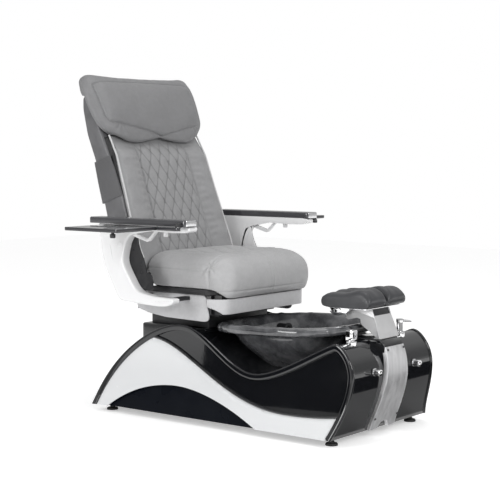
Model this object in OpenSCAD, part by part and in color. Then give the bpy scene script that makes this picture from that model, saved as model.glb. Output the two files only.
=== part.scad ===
// Pedicure spa chair: moulded base with a foot bowl, a footrest on a steel post and a
// reclining seat on slide rails. Front faces -Y, up is +Z, the sitter's left is +X.
// Origin on the floor under the middle of the base footprint. Millimetres.

/* [Base] */
// Width of the base across its foot
base_width = 710; // [694:2:734]
// Width of the base above the flare
base_waist = 572; // [566:1:580]
// Height of the lower edge of the base above the floor
base_lift = 28; // [25:1:31]
// Wall thickness of the moulded base
shell_wall = 8; // [6:0.5:9]
// Width of the rounded rim band round each side
rim_width = 26; // [22:1:30]
// Thickness of the pearl side panels
side_panel_thick = 6; // [4:0.5:8]
// Height of the flat deck under the seat
deck_height = 383; // [378:1:386]

/* [Bowl] */
// Outer width of the bowl rim
bowl_width = 584; // [572:2:590]
// Outer length of the bowl rim
bowl_length = 632; // [620:2:640]
// Height of the bowl rim over the floor
rim_height = 424; // [420:1:428]
// Thickness of the rolled rim
rim_thick = 38; // [32:1:42]
// Wall thickness of the bowl
bowl_wall = 9; // [7:0.5:11]
// Diameter of the drain bore in the bowl
drain_bore = 40; // [36:1:46]
// Outside diameter of the waste pipe
waste_pipe = 32; // [30:1:34]

/* [Footrest] */
// Width of each foot pad
pad_width = 130; // [120:1:134]
// Distance between the side plates of the bracket, outside
bracket_width = 124; // [118:1:128]
// Diameter of the footrest hinge shaft
footrest_shaft = 16; // [14:0.5:18]

/* [Seat] */
// Width of the seat cushion
seat_width = 600; // [584:2:606]
// Height of the seat crown over the floor
seat_height = 695; // [685:1:700]
// Height of the rolled piping line at the seat sides
piping_height = 612; // [604:1:620]

/* [Back] */
// Lean of the backrest from upright in its resting position
back_lean = 19.2; // [17.4:0.2:21]
// Width of the back shell
shell_width = 608; // [600:2:614]
// Diameter of the recline cross tube
pivot_tube = 24; // [20:1:28]
// Width of the head pillow over its ears
pillow_width = 700; // [680:5:716]

/* [Arms] */
// Distance between the inner faces of the arms
arm_spacing = 750; // [744:2:764]
// Thickness of each arm moulding
arm_thick = 50; // [44:1:52]
// Width of each arm board
board_width = 75; // [70:1:80]
// Thickness of each arm board
board_thick = 26; // [22:1:30]
// Width of the swing trays
tray_width = 245; // [225:1:260]
// Length of the swing trays
tray_length = 285; // [265:1:300]
// Thickness of the swing trays
tray_thick = 14; // [12:1:16]
// Diameter of the tray pivot pin
tray_pin = 12; // [10:0.5:14]

/* [Fittings] */
// Diameter of the two front valve knobs
knob_size = 27; // [24:1:32]
// Diameter of the mixer and diverter spindles
spindle = 10; // [8:0.5:12]
// Diameter of the levelling foot pads
foot_pad_size = 50; // [46:1:60]
// Diameter of the levelling foot screws
foot_screw = 12; // [10:1:14]
// Outside diameter of the water inlet tails
inlet_pipe = 21; // [20:0.5:22]

/* [Clearances] */
// Radial clearance of turning shafts in their bores
running_fit = 0.05; // [0.03:0.01:0.1]
// Gap between sliding faces
slip_gap = 0.5; // [0.4:0.1:0.8]

/* [Hidden] */
$fn = 64;
e = 0.01;

// half width of the base outline at height z
function half_w(z) = base_waist / 2 + (base_width - base_waist) / 2 * exp(-(max(z, base_lift) - base_lift) / 115);
function bez(a, b, c, d, n) = [for (i = [0:n - 1]) let(t = i / n, u = 1 - t)
    u * u * u * a + 3 * u * u * t * b + 3 * u * t * t * c + t * t * t * d];
function last(p) = p[len(p) - 1];
// open curve moved inwards by t (the curve runs from the rear foot over the top to the front foot)
function inset(p, t) = [for (i = [0:len(p) - 1])
    let(a = p[max(i - 1, 0)], b = p[min(i + 1, len(p) - 1)], d = (b - a) / norm(b - a))
    p[i] + t * [-d[1], d[0]]];
// same curve with its two ends brought to height z
function to_foot(p, z) = concat([[p[0][0], z]], [for (i = [1:len(p) - 2]) p[i]], [[last(p)[0], z]]);
// same curve closed far below, for cutting
function open_below(p) = concat([[p[0][0], -60]], p, [[last(p)[0], -60]]);
function sgn(v) = v < 0 ? -1 : 1;
function clamp01(v) = max(0, min(1, v));
function super_xy(a, b, n, k) = [for (i = [0:k - 1]) let(t = 360 * (i + 0.5) / k)
    [a * sgn(cos(t)) * pow(abs(cos(t)), 2 / n), b * sgn(sin(t)) * pow(abs(sin(t)), 2 / n)]];

half_len = 620;
// side outline of the base, rear foot to front foot
profile = concat(
    bez([half_len, base_lift], [602, 215], [330, 402], [165, 402], 11),
    bez([165, 402], [35, 402], [-85, 238], [-215, 238], 9),
    bez([-215, 238], [-320, 236], [-500, 352], [-590, 386], 9),
    bez([-590, 386], [-625, 398], [-686, 330], [-686, 263], 7),
    bez([-686, 263], [-686, 180], [-648, 105], [-half_len, base_lift], 6),
    [[-half_len, base_lift]]);
band_depth = 14;
shell_inset = 5;
shell_outer = to_foot(inset(profile, shell_inset), base_lift);
shell_inner = inset(profile, shell_inset + shell_wall);
pearl_curve = concat(
    bez([352, 334], [150, 340], [-40, 90], [-400, 96], 12),
    bez([-400, 96], [-500, 96], [-600, 105], [-672, 120], 4),
    [[-672, 120]]);
arch_curve = concat(
    bez([533, base_lift], [440, 110], [300, 146], [180, 146], 7),
    bez([180, 146], [60, 146], [-90, 100], [-262, base_lift], 7),
    [[-262, base_lift]]);
flare_levels = [28, 42, 58, 76, 98, 124, 155, 190, 230, 275, 325, 420];

// bowl
bowl_y = -237;
bowl_n = 3.15;
bowl_a = bowl_width / 2;
bowl_b = bowl_length / 2;
bowl_slope = -0.035;
bowl_floor = 222;
function rim_under(y) = rim_height - rim_thick + bowl_slope * (y - bowl_y);

// water jet
jet_x = 150;
jet_z = 350;
jet_r = 26;
jet_face = -62;
jet_motor_y = 18;
jet_motor_r = 22;

// front pad for the footrest bracket, and the fittings beside it
pad_top = 386;
pad_half = 68;
mixer_x = 158;
mixer_y = -610;
diverter_x = -186;
diverter_y = -606;

// footrest post: leans back from its foot by this angle
post_lean = 20.6;
post_foot = pad_top + 3;
post_top = 474;
post_foot_half = 72.5;
shaft_y = -470;
shaft_z = 486;

// frame
rail_x = base_width / 2 - 70;
rail_half = 15;
rail_top = 59;
rail_low = 34;

// seat and slide
pedestal_top = 430;
slide_top = 447;
seat_frame_top = 530;
pan_top = 553;
slide_x = 165;

// recline pivot
pivot_y = 400;
pivot_z = 560;
lever_drop = 88;
lever_swing = 17.5;
lever_pin = 10;

// arms
arm_in = arm_spacing / 2;
arm_core = 8;
arm_skin = 3;
arm_out = arm_in + arm_thick;
board_in = arm_in + 2;
board_out = board_in + board_width;
board_low = 815;
board_top = board_low + board_thick;
tray_in = board_out + 4;
tray_y = 135;
pivot_tray_x = board_out + 12;
pivot_tray_y = 28;
tray_top = board_low - 2;
tray_low = tray_top - tray_thick;
clamp_x = arm_in + arm_core + (arm_thick - arm_core) / 2;
clamp_y = 144;

// ---------------------------------------------------------------- helpers

// outline in (y, z) drawn through x from x0 to x1
module side_prism(pts, x0, x1)
    translate([x0, 0, 0]) rotate([90, 0, 90]) linear_extrude(x1 - x0) polygon(pts);

// outline in (x, z) drawn through y from y0 to y1
module front_prism(pts, y0, y1)
    translate([0, y1, 0]) rotate([90, 0, 0]) linear_extrude(y1 - y0) polygon(pts);

module box(x0, x1, y0, y1, z0, z1)
    translate([x0, y0, z0]) cube([x1 - x0, y1 - y0, z1 - z0]);

// same thing on the other side of the chair
module other_side()
    mirror([1, 0, 0]) children();

module both_sides() {
    children();
    mirror([1, 0, 0]) children();
}

// turned piece along X, Y or Z
module rod_x(x0, x1, y, z, r)
    translate([x0, y, z]) rotate([0, 90, 0]) cylinder(r = r, h = x1 - x0);
module rod_y(y0, y1, x, z, r)
    translate([x, y1, z]) rotate([90, 0, 0]) cylinder(r = r, h = y1 - y0);
module rod_z(z0, z1, x, y, r)
    translate([x, y, z0]) cylinder(r = r, h = z1 - z0);

// flared width of the base less o on each side
module flare(o) {
    right = [for (z = flare_levels) [half_w(z) - o, z]];
    front_prism(concat([[half_w(28) - o, -60]], right, [for (i = [len(right) - 1:-1:0]) [-right[i][0], right[i][1]]],
        [[-half_w(28) + o, -60]]), -760, 760);
}

// layer of the left side wall between o_out and o_in below the outline
module side_layer(o_out, o_in) {
    intersection() {
        difference() {
            flare(o_out);
            flare(o_in);
        }
        box(0, 500, -750, 750, -80, 500);
    }
}

// closed body through a stack of rings, all with the same number of points
module loft(rings) {
    n = len(rings[0]);
    m = len(rings);
    c0 = [for (k = [0:2]) let(s = [for (p = rings[0]) p[k]]) (min(s) + max(s)) / 2];
    c1 = [for (k = [0:2]) let(s = [for (p = rings[m - 1]) p[k]]) (min(s) + max(s)) / 2];
    pts = concat([for (r = rings) for (p = r) p], [c0, c1]);
    walls = [for (j = [0:m - 2]) for (i = [0:n - 1]) let(a = j * n + i, b = j * n + (i + 1) % n, c = b + n, d = a + n)
        each ((i + j) % 2 == 0 ? [[a, b, c], [a, c, d]] : [[a, b, d], [b, c, d]])];
    cap0 = [for (i = [0:n - 1]) [m * n, (i + 1) % n, i]];
    cap1 = [for (i = [0:n - 1]) [m * n + 1, (m - 1) * n + i, (m - 1) * n + (i + 1) % n]];
    polyhedron(points = pts, faces = concat(walls, cap0, cap1), convexity = 8);
}

// place a back part drawn upright: x, forward distance as -y, height along the back as z
module on_back()
    translate([0, pivot_y, pivot_z]) rotate([-back_lean, 0, 0]) children();

// outline in (forward distance, height along the back)
module back_prism(pts, x0, x1)
    on_back() translate([x0, 0, 0]) rotate([90, 0, 90]) linear_extrude(x1 - x0)
        polygon([for (p = pts) [-p[0], p[1]]]);

module back_box(x0, x1, d0, d1, s0, s1)
    on_back() box(x0, x1, -d1, -d0, s0, s1);

// ---------------------------------------------------------------- base

module shell_solid() {
    // raised pad that carries the footrest bracket
    side_prism([[-588, 345], [-588, pad_top], [-652, pad_top], [-664, 382], [-675, 372], [-681, 358], [-683, 340],
        [-682, 310], [-660, 290]], -pad_half, pad_half);
    intersection() {
        side_prism(shell_outer, -400, 400);
        flare(band_depth);
        box(-400, 400, -750, 750, base_lift, deck_height);
    }
    box(-235, 235, 75, 370, 300, deck_height);
    side_prism([[360, 300], [360, deck_height], [370, deck_height], [424, 368], [433, 350], [433, 300]], -235, 235);
}

module arch(x0, x1, grow) {
    top = inset(arch_curve, -grow);
    side_prism(concat([[top[0][0], -10]], top, [[last(top)[0], -10]]), x0, x1);
}

module base_shell() {
    color([0.13, 0.14, 0.16]) difference() {
        shell_solid();
        intersection() {
            side_prism(open_below(shell_inner), -400, 400);
            flare(band_depth + shell_wall);
            box(-400, 400, -750, 750, -80, deck_height - shell_wall);
        }
        box(-235 + shell_wall, 235 - shell_wall, 75 + shell_wall, 370, 280, deck_height - shell_wall);
        side_prism([[350, 280], [350, deck_height - shell_wall], [369, deck_height - shell_wall], [418, 361], [425, 346],
            [425, 280]], -235 + shell_wall, 235 - shell_wall);
        // seat for the bowl, cut in steps that follow its body
        for (i = [2:len(bowl_rings) - 1]) bowl_hole(i);
        rod_y(jet_face - 20, 36, jet_x, jet_z, jet_r + 2);
        rod_z(200, jet_z, jet_x, jet_motor_y, jet_motor_r + 2);
        intersection() {
            translate([0, bowl_y, 100]) linear_extrude(400) polygon(super_xy(bowl_a + 2, bowl_b + 2, bowl_n, 48));
            side_prism([[bowl_y + 360, rim_under(bowl_y + 360)], [bowl_y + 360, 520], [bowl_y - 360, 520],
                [bowl_y - 360, rim_under(bowl_y - 360)]], -300, 300);
        }
        arch(-400, 400, 0);
        rod_z(300, 450, mixer_x, mixer_y, 9.2);
        rod_z(300, 450, diverter_x, diverter_y, 9.2);
        both_sides() rod_y(-750, -600, 145, 271, 9);
        both_sides() rod_y(560, 700, 60, 78, inlet_pipe / 2 + 1);
    }
}

module bowl_hole(i) {
    r = bowl_rings[i];
    low = i < 3 ? -120 : bowl_rings[i - 1][2];
    high = i == len(bowl_rings) - 1 ? 300 : r[2];
    translate([0, bowl_y, bowl_floor + low - e])
        linear_extrude(high - low + 2 * e) polygon(super_xy(bowl_a - 285 + r[0], bowl_b - 307 + r[1], bowl_n, 40));
}

module side_rim_left() {
    color([0.2, 0.21, 0.23]) difference() {
        intersection() {
            side_layer(0, band_depth);
            side_prism(to_foot(profile, base_lift), 0, 500);
        }
        side_prism(open_below(inset(profile, rim_width)), 0, 500);
    }
}

module side_rim_right()
    other_side() side_rim_left();

module pearl_area()
    side_prism(concat(pearl_curve, [[-700, 120], [-700, 0], [700, 0], [700, 334]]), 0, 500);

module side_panel_left() {
    color([0.86, 0.87, 0.88]) difference() {
        intersection() {
            side_layer(band_depth - side_panel_thick, band_depth);
            pearl_area();
            side_prism(to_foot(profile, base_lift), 0, 500);
        }
        difference() {
            box(0, 500, -750, 750, -20, 500);
            side_prism(open_below(inset(profile, rim_width)), -1, 501);
        }
        arch(0, 500, 0);
    }
}

module side_panel_right()
    other_side() side_panel_left();

module toe_kick_left() {
    color([0.05, 0.05, 0.06]) intersection() {
        side_layer(band_depth + shell_wall, band_depth + shell_wall + 4);
        arch(0, 500, 12);
        box(0, base_width, -half_len, half_len, base_lift, 300);
    }
}

module toe_kick_right()
    other_side() toe_kick_left();

panel_line = [[-630, base_lift], [-643, 64], [-663, 110], [-685, 170], [-698, 220], [-702, 250], [-701, 290],
    [-696, 325], [-686, 357]];
cover_top = last(panel_line)[1];

module panel_body(t) {
    intersection() {
        side_prism(concat([for (p = inset([for (i = [len(panel_line) - 1:-1:0]) panel_line[i]], t)) p],
            [[-600, base_lift + (t > 0 ? -10 : 0)], [-600, cover_top - t]]), -200, 200);
        front_prism([[92 - t, base_lift - 20], [92 - t, base_lift], [76 - t, 250], [66 - t, cover_top],
            [t - 66, cover_top], [t - 76, 250], [t - 92, base_lift], [t - 92, base_lift - 20]], -720, -590);
        box(-200, 200, -720, -590, base_lift - (t > 0 ? 10 : 0), cover_top);
    }
}

// bent cover over the middle of the front
module front_panel() {
    color([0.75, 0.75, 0.77]) difference() {
        panel_body(0);
        panel_body(2);
        shell_solid();
        rod_y(-720, -560, 0, base_lift - 12, 42);
    }
}

function panel_front(z) = lookup(z, [for (p = panel_line) [p[1], p[0]]]);

module front_panel_screws() {
    color([0.3, 0.3, 0.32]) both_sides() {
        translate([57, panel_front(346) - 0.05, 346]) rotate([90 - 17.4, 0, 0]) cylinder(r1 = 5, r2 = 4, h = 2.4);
        translate([79, panel_front(74) - 0.05, 74]) rotate([90 + 23.5, 0, 0]) cylinder(r1 = 5, r2 = 4, h = 2.4);
    }
}

module base_frame() {
    color([0.3, 0.3, 0.32]) difference() {
        union() {
            both_sides() {
                box(rail_x - rail_half, rail_x + rail_half, -596, 575, rail_low, rail_top);
                box(34, 54, -298, -278, rail_top, bowl_floor);
                box(34, 54, -196, -176, rail_top, bowl_floor);
            }
            box(-rail_x, rail_x, -598, -572, rail_low, rail_top);
            box(-rail_x, rail_x, -303, -273, rail_low, rail_top);
            box(-rail_x, rail_x, -201, -171, rail_low, rail_top);
            box(-rail_x, rail_x, 96, 126, rail_low, rail_top);
            box(-rail_x, rail_x, 345, 370, rail_low, rail_top);
            box(-rail_x, rail_x, 548, 575, rail_low, rail_top);
            both_sides() box(45, 75, 530, 575, rail_top, 92);
        }
        both_sides() {
            rod_z(0, 100, rail_x, -584, foot_screw / 2 + running_fit);
            rod_z(0, 100, rail_x, 561, foot_screw / 2 + running_fit);
            rod_y(500, 600, 60, 78, inlet_pipe / 2);
        }
    }
}

module levelling_foot(x, y) {
    color([0.08, 0.08, 0.09]) translate([x, y, 0]) {
        cylinder(r1 = foot_pad_size / 2, r2 = foot_pad_size / 2 - 2, h = 9);
        translate([0, 0, 9]) cylinder(r = 11, h = 8, $fn = 6);
        cylinder(r = foot_screw / 2, h = 84);
    }
}

module levelling_foot_front_right()
    levelling_foot(-rail_x, -584);

module levelling_foot_front_left()
    levelling_foot(rail_x, -584);

module levelling_foot_rear_right()
    levelling_foot(-rail_x, 561);

module levelling_foot_rear_left()
    levelling_foot(rail_x, 561);

// the box under the seat and the four posts that carry the deck below it
module seat_pedestal() {
    color([0.1, 0.1, 0.11]) {
        difference() {
            box(-200, 200, 90, 405, deck_height, pedestal_top);
            box(-192, 192, 98, 397, deck_height - 1, pedestal_top - 8);
        }
        both_sides() {
            box(170, 200, 96, 126, rail_top, deck_height - shell_wall);
            box(170, 200, 345, 369, rail_top, deck_height - shell_wall);
        }
    }
}

module slide_rails() {
    color([0.35, 0.35, 0.37]) both_sides() difference() {
        box(slide_x - 24, slide_x + 24, 45, 405, pedestal_top, slide_top - slip_gap);
        box(slide_x - 14, slide_x + 14, 40, 410, pedestal_top + 4, slide_top + 1);
    }
}

// ---------------------------------------------------------------- bowl and water

// half x, half y, height, share of the rim slope
bowl_rings = [
    [60, 66, 0, 0], [88, 97, 3, 0], [108, 118, 13, 0], [127, 138, 30, 0.1], [148, 161, 50, 0.2],
    [168, 183, 70, 0.3], [188, 204, 90, 0.4], [206, 223, 110, 0.5], [225, 244, 141, 0.8], [233, 253, 159, 1]];

function bowl_ring(a, b, z, w) = [for (p = super_xy(a, b, bowl_n, 36)) [p[0], bowl_y + p[1], z + w * bowl_slope * p[1]]];

module bowl_body() {
    u = rim_height - rim_thick;
    outer = [for (r = bowl_rings) bowl_ring(bowl_a - 292 + r[0], bowl_b - 316 + r[1], bowl_floor + r[2], r[3])];
    rim = [
        bowl_ring(bowl_a - 41, bowl_b - 44, u, 1),
        bowl_ring(bowl_a - 14, bowl_b - 15, u, 1),
        bowl_ring(bowl_a - 4, bowl_b - 4, u + 5, 1),
        bowl_ring(bowl_a, bowl_b, u + 14, 1),
        bowl_ring(bowl_a, bowl_b, u + 25, 1),
        bowl_ring(bowl_a - 6, bowl_b - 6, u + 34, 1),
        bowl_ring(bowl_a - 20, bowl_b - 21, rim_height, 1),
        bowl_ring(bowl_a - 36, bowl_b - 37, rim_height - 2, 1),
        bowl_ring(bowl_a - 48, bowl_b - 50, rim_height - 11, 1),
        bowl_ring(bowl_a - 57, bowl_b - 60, rim_height - 24, 1)];
    inner = [for (i = [9:-1:0]) let(r = bowl_rings[i], up = i < 3 ? bowl_wall : i < 8 ? bowl_wall * 0.75 : 3,
            k = i < 3 ? 5 : bowl_wall * 0.9)
        bowl_ring(bowl_a - 292 + r[0] - k, bowl_b - 316 + r[1] - k, bowl_floor + r[2] + up, r[3])];
    loft(concat(outer, rim, inner));
}

module bowl() {
    color([0.12, 0.13, 0.15]) difference() {
        bowl_body();
        rod_z(100, 260, 0, bowl_y, drain_bore / 2);
        rod_y(jet_face - 20, 60, jet_x, jet_z, jet_r);
        // recess for the jet cover
        rod_y(jet_face - 50, jet_face + 4.3, jet_x, jet_z, jet_r + 4.4);
    }
}

module drain_body() {
    color([0.75, 0.75, 0.77]) difference() {
        union() {
            rod_z(bowl_floor + bowl_wall, bowl_floor + bowl_wall + 3, 0, bowl_y, drain_bore / 2 + 6);
            rod_z(bowl_floor - 30, bowl_floor + bowl_wall, 0, bowl_y, drain_bore / 2);
            rod_z(bowl_floor - 12, bowl_floor, 0, bowl_y, drain_bore / 2 + 9);
            rod_z(34, bowl_floor - 30, 0, bowl_y, waste_pipe / 2);
        }
        rod_z(bowl_floor - 20, 250, 0, bowl_y, drain_bore / 2 - 3);
        rod_z(30, 250, 0, bowl_y, waste_pipe / 2 - 2.5);
    }
    color([0.75, 0.75, 0.77]) difference() {
        union() {
            rod_z(bowl_floor - 26, bowl_floor - 6, 0, bowl_y, 6);
            box(-drain_bore / 2 + 2, drain_bore / 2 - 2, bowl_y - 2, bowl_y + 2, bowl_floor - 26, bowl_floor - 20);
        }
        rod_z(bowl_floor - 30, bowl_floor, 0, bowl_y, 3 + running_fit);
    }
}

module drain_stopper() {
    color([0.85, 0.85, 0.87]) {
        rod_z(bowl_floor + bowl_wall + 3.4, bowl_floor + bowl_wall + 7, 0, bowl_y, drain_bore / 2 + 3);
        rod_z(bowl_floor - 24, bowl_floor + bowl_wall + 4, 0, bowl_y, 3);
    }
}

module jet_pump() {
    color([0.16, 0.16, 0.18]) difference() {
        union() {
            rod_y(jet_face + 4, 34, jet_x, jet_z, jet_r);
            rod_z(236, jet_z, jet_x, jet_motor_y, jet_motor_r);
            rod_z(214, 236, jet_x, jet_motor_y, jet_motor_r + 4);
        }
        rod_y(jet_face, jet_face + 38, jet_x, jet_z, jet_r - 3.5);
        rod_y(jet_face, jet_face + 60, jet_x, jet_z, 3 + running_fit);
    }
}

module jet_cover() {
    color([0.25, 0.25, 0.27]) difference() {
        rod_y(jet_face, jet_face + 4, jet_x, jet_z, jet_r + 4);
        for (k = [0:7]) translate([jet_x, 0, jet_z]) rotate([0, 45 * k, 0]) rod_y(jet_face - 5, jet_face + 9, 14, 0, 4);
        rod_y(jet_face - 5, jet_face + 9, jet_x, jet_z, 4);
    }
}

module jet_impeller() {
    color([0.8, 0.8, 0.82]) {
        rod_y(jet_face + 14, jet_face + 32, jet_x, jet_z, 7);
        rod_y(jet_face + 32, jet_face + 58, jet_x, jet_z, 3);
        for (k = [0:4]) translate([jet_x, jet_face + 23, jet_z]) rotate([0, 72 * k, 0]) box(5, 19, -7, 7, -1.2, 1.2);
    }
}

module mixer_body() {
    color([0.85, 0.85, 0.87]) difference() {
        union() {
            difference() {
                rod_z(365, 386, mixer_x, mixer_y, 21);
                shell_solid();
            }
            rod_z(386, 391, mixer_x, mixer_y, 17);
            rod_z(340, 427, mixer_x, mixer_y, 9);
            rod_z(391, 427, mixer_x, mixer_y, 13);
        }
        rod_z(404, 440, mixer_x, mixer_y, spindle / 2 + running_fit);
    }
}

module mixer_lever() {
    color([0.88, 0.88, 0.9]) {
        rod_z(408, 429, mixer_x, mixer_y, spindle / 2);
        rod_z(427.4, 440, mixer_x, mixer_y, 15);
        hull() {
            translate([mixer_x, mixer_y, 434]) sphere(r = 5.5, $fn = 24);
            translate([mixer_x + 24, mixer_y - 36, 432]) sphere(r = 4.5, $fn = 24);
        }
    }
}

module diverter_body() {
    color([0.8, 0.8, 0.82]) difference() {
        union() {
            difference() {
                rod_z(365, 389, diverter_x, diverter_y, 21);
                shell_solid();
            }
            rod_z(389, 393, diverter_x, diverter_y, 14);
            rod_z(340, 393, diverter_x, diverter_y, 9);
        }
        rod_z(360, 440, diverter_x, diverter_y, spindle / 2 + running_fit);
    }
}

// square knob, open through from front to rear
module diverter_knob() {
    color([0.88, 0.88, 0.9]) {
        rod_z(364, 428, diverter_x, diverter_y, spindle / 2);
        difference() {
            box(diverter_x - 17, diverter_x + 17, diverter_y - 15, diverter_y + 15, 393.4, 431);
            box(diverter_x - 13, diverter_x + 13, diverter_y - 16, diverter_y + 16, 398, 427);
        }
    }
}

module front_valves() {
    color([0.6, 0.55, 0.4]) both_sides() difference() {
        union() {
            rod_y(-688, -682, 145, 271, knob_size / 2 + 2);
            rod_y(-682, -640, 145, 271, 8.5);
            rod_y(-669, -655, 145, 271, 15);
        }
        rod_y(-700, -650, 145, 271, 4 + running_fit);
    }
}

module front_knob_left() {
    color([0.88, 0.88, 0.9]) difference() {
        union() {
            rod_y(-714, -688.4, 145, 271, knob_size / 2);
            rod_y(-689, -654, 145, 271, 4);
        }
        box(140, 150, -715, -711, 268.5, 273.5);
    }
}

module front_knob_right()
    other_side() front_knob_left();

module supply_tails() {
    color([0.7, 0.62, 0.4]) both_sides() difference() {
        union() {
            rod_y(500, 644, 60, 78, inlet_pipe / 2);
            rod_y(576, 582, 60, 78, inlet_pipe / 2 + 5);
            rod_y(612, 618, 60, 78, inlet_pipe / 2 + 5);
        }
        rod_y(480, 660, 60, 78, inlet_pipe / 2 - 2.5);
    }
}

// ---------------------------------------------------------------- footrest

post_tan = tan(post_lean);
function post_y(z) = -660 + (z - post_foot) * post_tan;
bracket_half = bracket_width / 2;

module footrest_bracket() {
    color([0.75, 0.75, 0.77]) {
        // front plate, wider at the foot
        intersection() {
            side_prism([[post_y(post_foot), post_foot], [post_y(post_top), post_top], [post_y(post_top) + 3, post_top],
                [post_y(post_foot) + 3, post_foot]], -100, 100);
            front_prism([[post_foot_half, post_foot], [bracket_half, post_top - 8], [bracket_half - 3, post_top],
                [3 - bracket_half, post_top], [-bracket_half, post_top - 8], [-post_foot_half, post_foot]], -700, -600);
        }
        // foot plate bolted to the pad of the base
        box(-bracket_half - 4, bracket_half + 4, -659, -630, pad_top, post_foot + 0.5);
        both_sides() side_prism([[-514, 497], [post_y(498), 498], [post_y(391), 391], [-655, post_foot - 1],
            [-642, post_foot - 1], [-610, 411], [-588, 424], [-572, 434], [-567, 443], [-565, 458], [-549, 462], [-507, 452],
            [-496, 457]], bracket_half - 3, bracket_half);
        // inner guides for the sliding plate
        both_sides() side_prism([[post_y(392) + 10.4, 392], [post_y(470) + 10.4, 470], [post_y(470) + 15, 470],
            [post_y(392) + 15, 392]], bracket_half - 15, bracket_half - 3);
    }
}

slider_half = bracket_half - 3 - slip_gap;

module footrest_slider() {
    color([0.08, 0.08, 0.09]) {
        side_prism([[post_y(404) + 4, 404], [post_y(499) + 4, 499], [post_y(499) + 10, 499], [post_y(404) + 10, 404]],
            -slider_half, slider_half);
        box(-slider_half + 2, slider_half - 2, post_y(499) + 4, shaft_y + 2, 497, 502);
        both_sides() difference() {
            side_prism([[shaft_y - 30, 498], [shaft_y + 9, 498], [shaft_y + 9, shaft_z - 6], [shaft_y + 5, shaft_z - 10],
                [shaft_y - 5, shaft_z - 10], [shaft_y - 10, shaft_z - 4]], slider_half - 12, slider_half - 4);
            rod_x(0, 100, shaft_y, shaft_z, footrest_shaft / 2 + running_fit);
        }
    }
}

module pad_bracket() {
    color([0.82, 0.82, 0.84]) {
        rod_x(-92, 92, shaft_y, shaft_z, footrest_shaft / 2);
        both_sides() side_prism([[-437, 503], [-530, 503], [-530, 492], [-510, 476], [-480, 468], [-460, 468], [-440, 480]],
            bracket_half + 3, 90);
        box(-pad_width + 6, pad_width - 6, -632, -440, 502.6, 505.6);
    }
}

pad_ring = [
    [-436, 506], [-505, 505.6], [-575, 505.6], [-632, 505.6], [-648, 514], [-655, 530], [-655, 545], [-648, 560],
    [-632, 573], [-612, 582], [-592, 585], [-570, 582], [-548, 575], [-526, 569], [-504, 566], [-482, 563], [-460, 559],
    [-442, 552], [-432, 540], [-429, 524]];

module foot_pad_left() {
    stations = [1, 3, 8, 16, 28, 42, 56, 70, 84, 98, 110, 120, 126.5, 129];
    color([0.25, 0.25, 0.27]) loft([for (q = stations)
        let(x = q * pad_width / 130, edge = min(q, 130 - q), g = edge > 24 ? 1 : sqrt(1 - pow((24 - edge) / 24, 2)))
        [for (i = [0:len(pad_ring) - 1]) let(p = pad_ring[i], ridge = (i > 10 && i < 17) ? 3 * cos(q * 360 / 43) * g : 0)
            [x, -545 + (p[0] + 545) * (0.94 + 0.06 * g), 505.6 + (p[1] - 505.6) * (0.55 + 0.45 * g) + ridge]]]);
}

module foot_pad_right()
    other_side() foot_pad_left();

// ---------------------------------------------------------------- seat

module seat_frame() {
    color([0.14, 0.14, 0.16]) difference() {
        union() {
            both_sides() {
                box(235, 262, -30, 13, slide_top + 3, seat_frame_top);
                box(235, 280, 12, 412, slide_top + 3, seat_frame_top);
                // carriages running in the fixed rails
                box(slide_x - 13.5, slide_x + 13.5, 62, 330, pedestal_top + 4 + slip_gap, slide_top + 3);
                box(slide_x - 13.5, 240, 62, 330, slide_top + 3, slide_top + 9);
                // ears for the recline tube
                side_prism([[376, seat_frame_top], [376, 566], [388, 582], [412, 582], [420, 570], [420, seat_frame_top]],
                    262, 272);
                box(262, 272, 376, 420, 500, seat_frame_top + 1);
                // arm outriggers and the plates that carry the arms
                box(278, arm_in + arm_skin + 1, 118, 148, 506, 520);
                box(278, arm_in + arm_skin + 1, 318, 348, 506, 520);
                side_prism(core_outline, arm_in + arm_skin, arm_in + arm_core);
            }
            box(-236, 236, -30, 0, 500, seat_frame_top);
            box(-236, 236, 190, 215, 500, seat_frame_top);
            both_sides() box(30, 236, 62, 92, slide_top + 3, slide_top + 28);
            box(-236, 236, 300, 330, slide_top + 3, slide_top + 12);
        }
        rod_x(-320, 320, pivot_y, pivot_z, pivot_tube / 2 + running_fit);
    }
}

// plywood board with its front corners cut to follow the roll
module seat_pan() {
    side = seat_width / 2 - 2;
    color([0.07, 0.07, 0.08]) translate([0, 0, seat_frame_top]) linear_extrude(pan_top - seat_frame_top)
        polygon([[-side, 312], [-side, 24], [-225, -34], [225, -34], [side, 24], [side, 312]]);
}

seat_ring = [
    [306, 553.3], [200, 553.3], [90, 553.3], [-39, 553.3], [-46, 543], [-56, 524], [-66, 517], [-78, 523], [-90, 545],
    [-95, 572], [-95, 602], [-88, 632], [-74, 656], [-53, 674], [-26, 686], [4, 692], [38, 695], [73, 695], [108, 695],
    [143, 695], [178, 695], [213, 695], [248, 695], [283, 695], [318, 694], [340, 690], [349, 680], [345, 662],
    [332, 625], [317, 585]];

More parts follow.
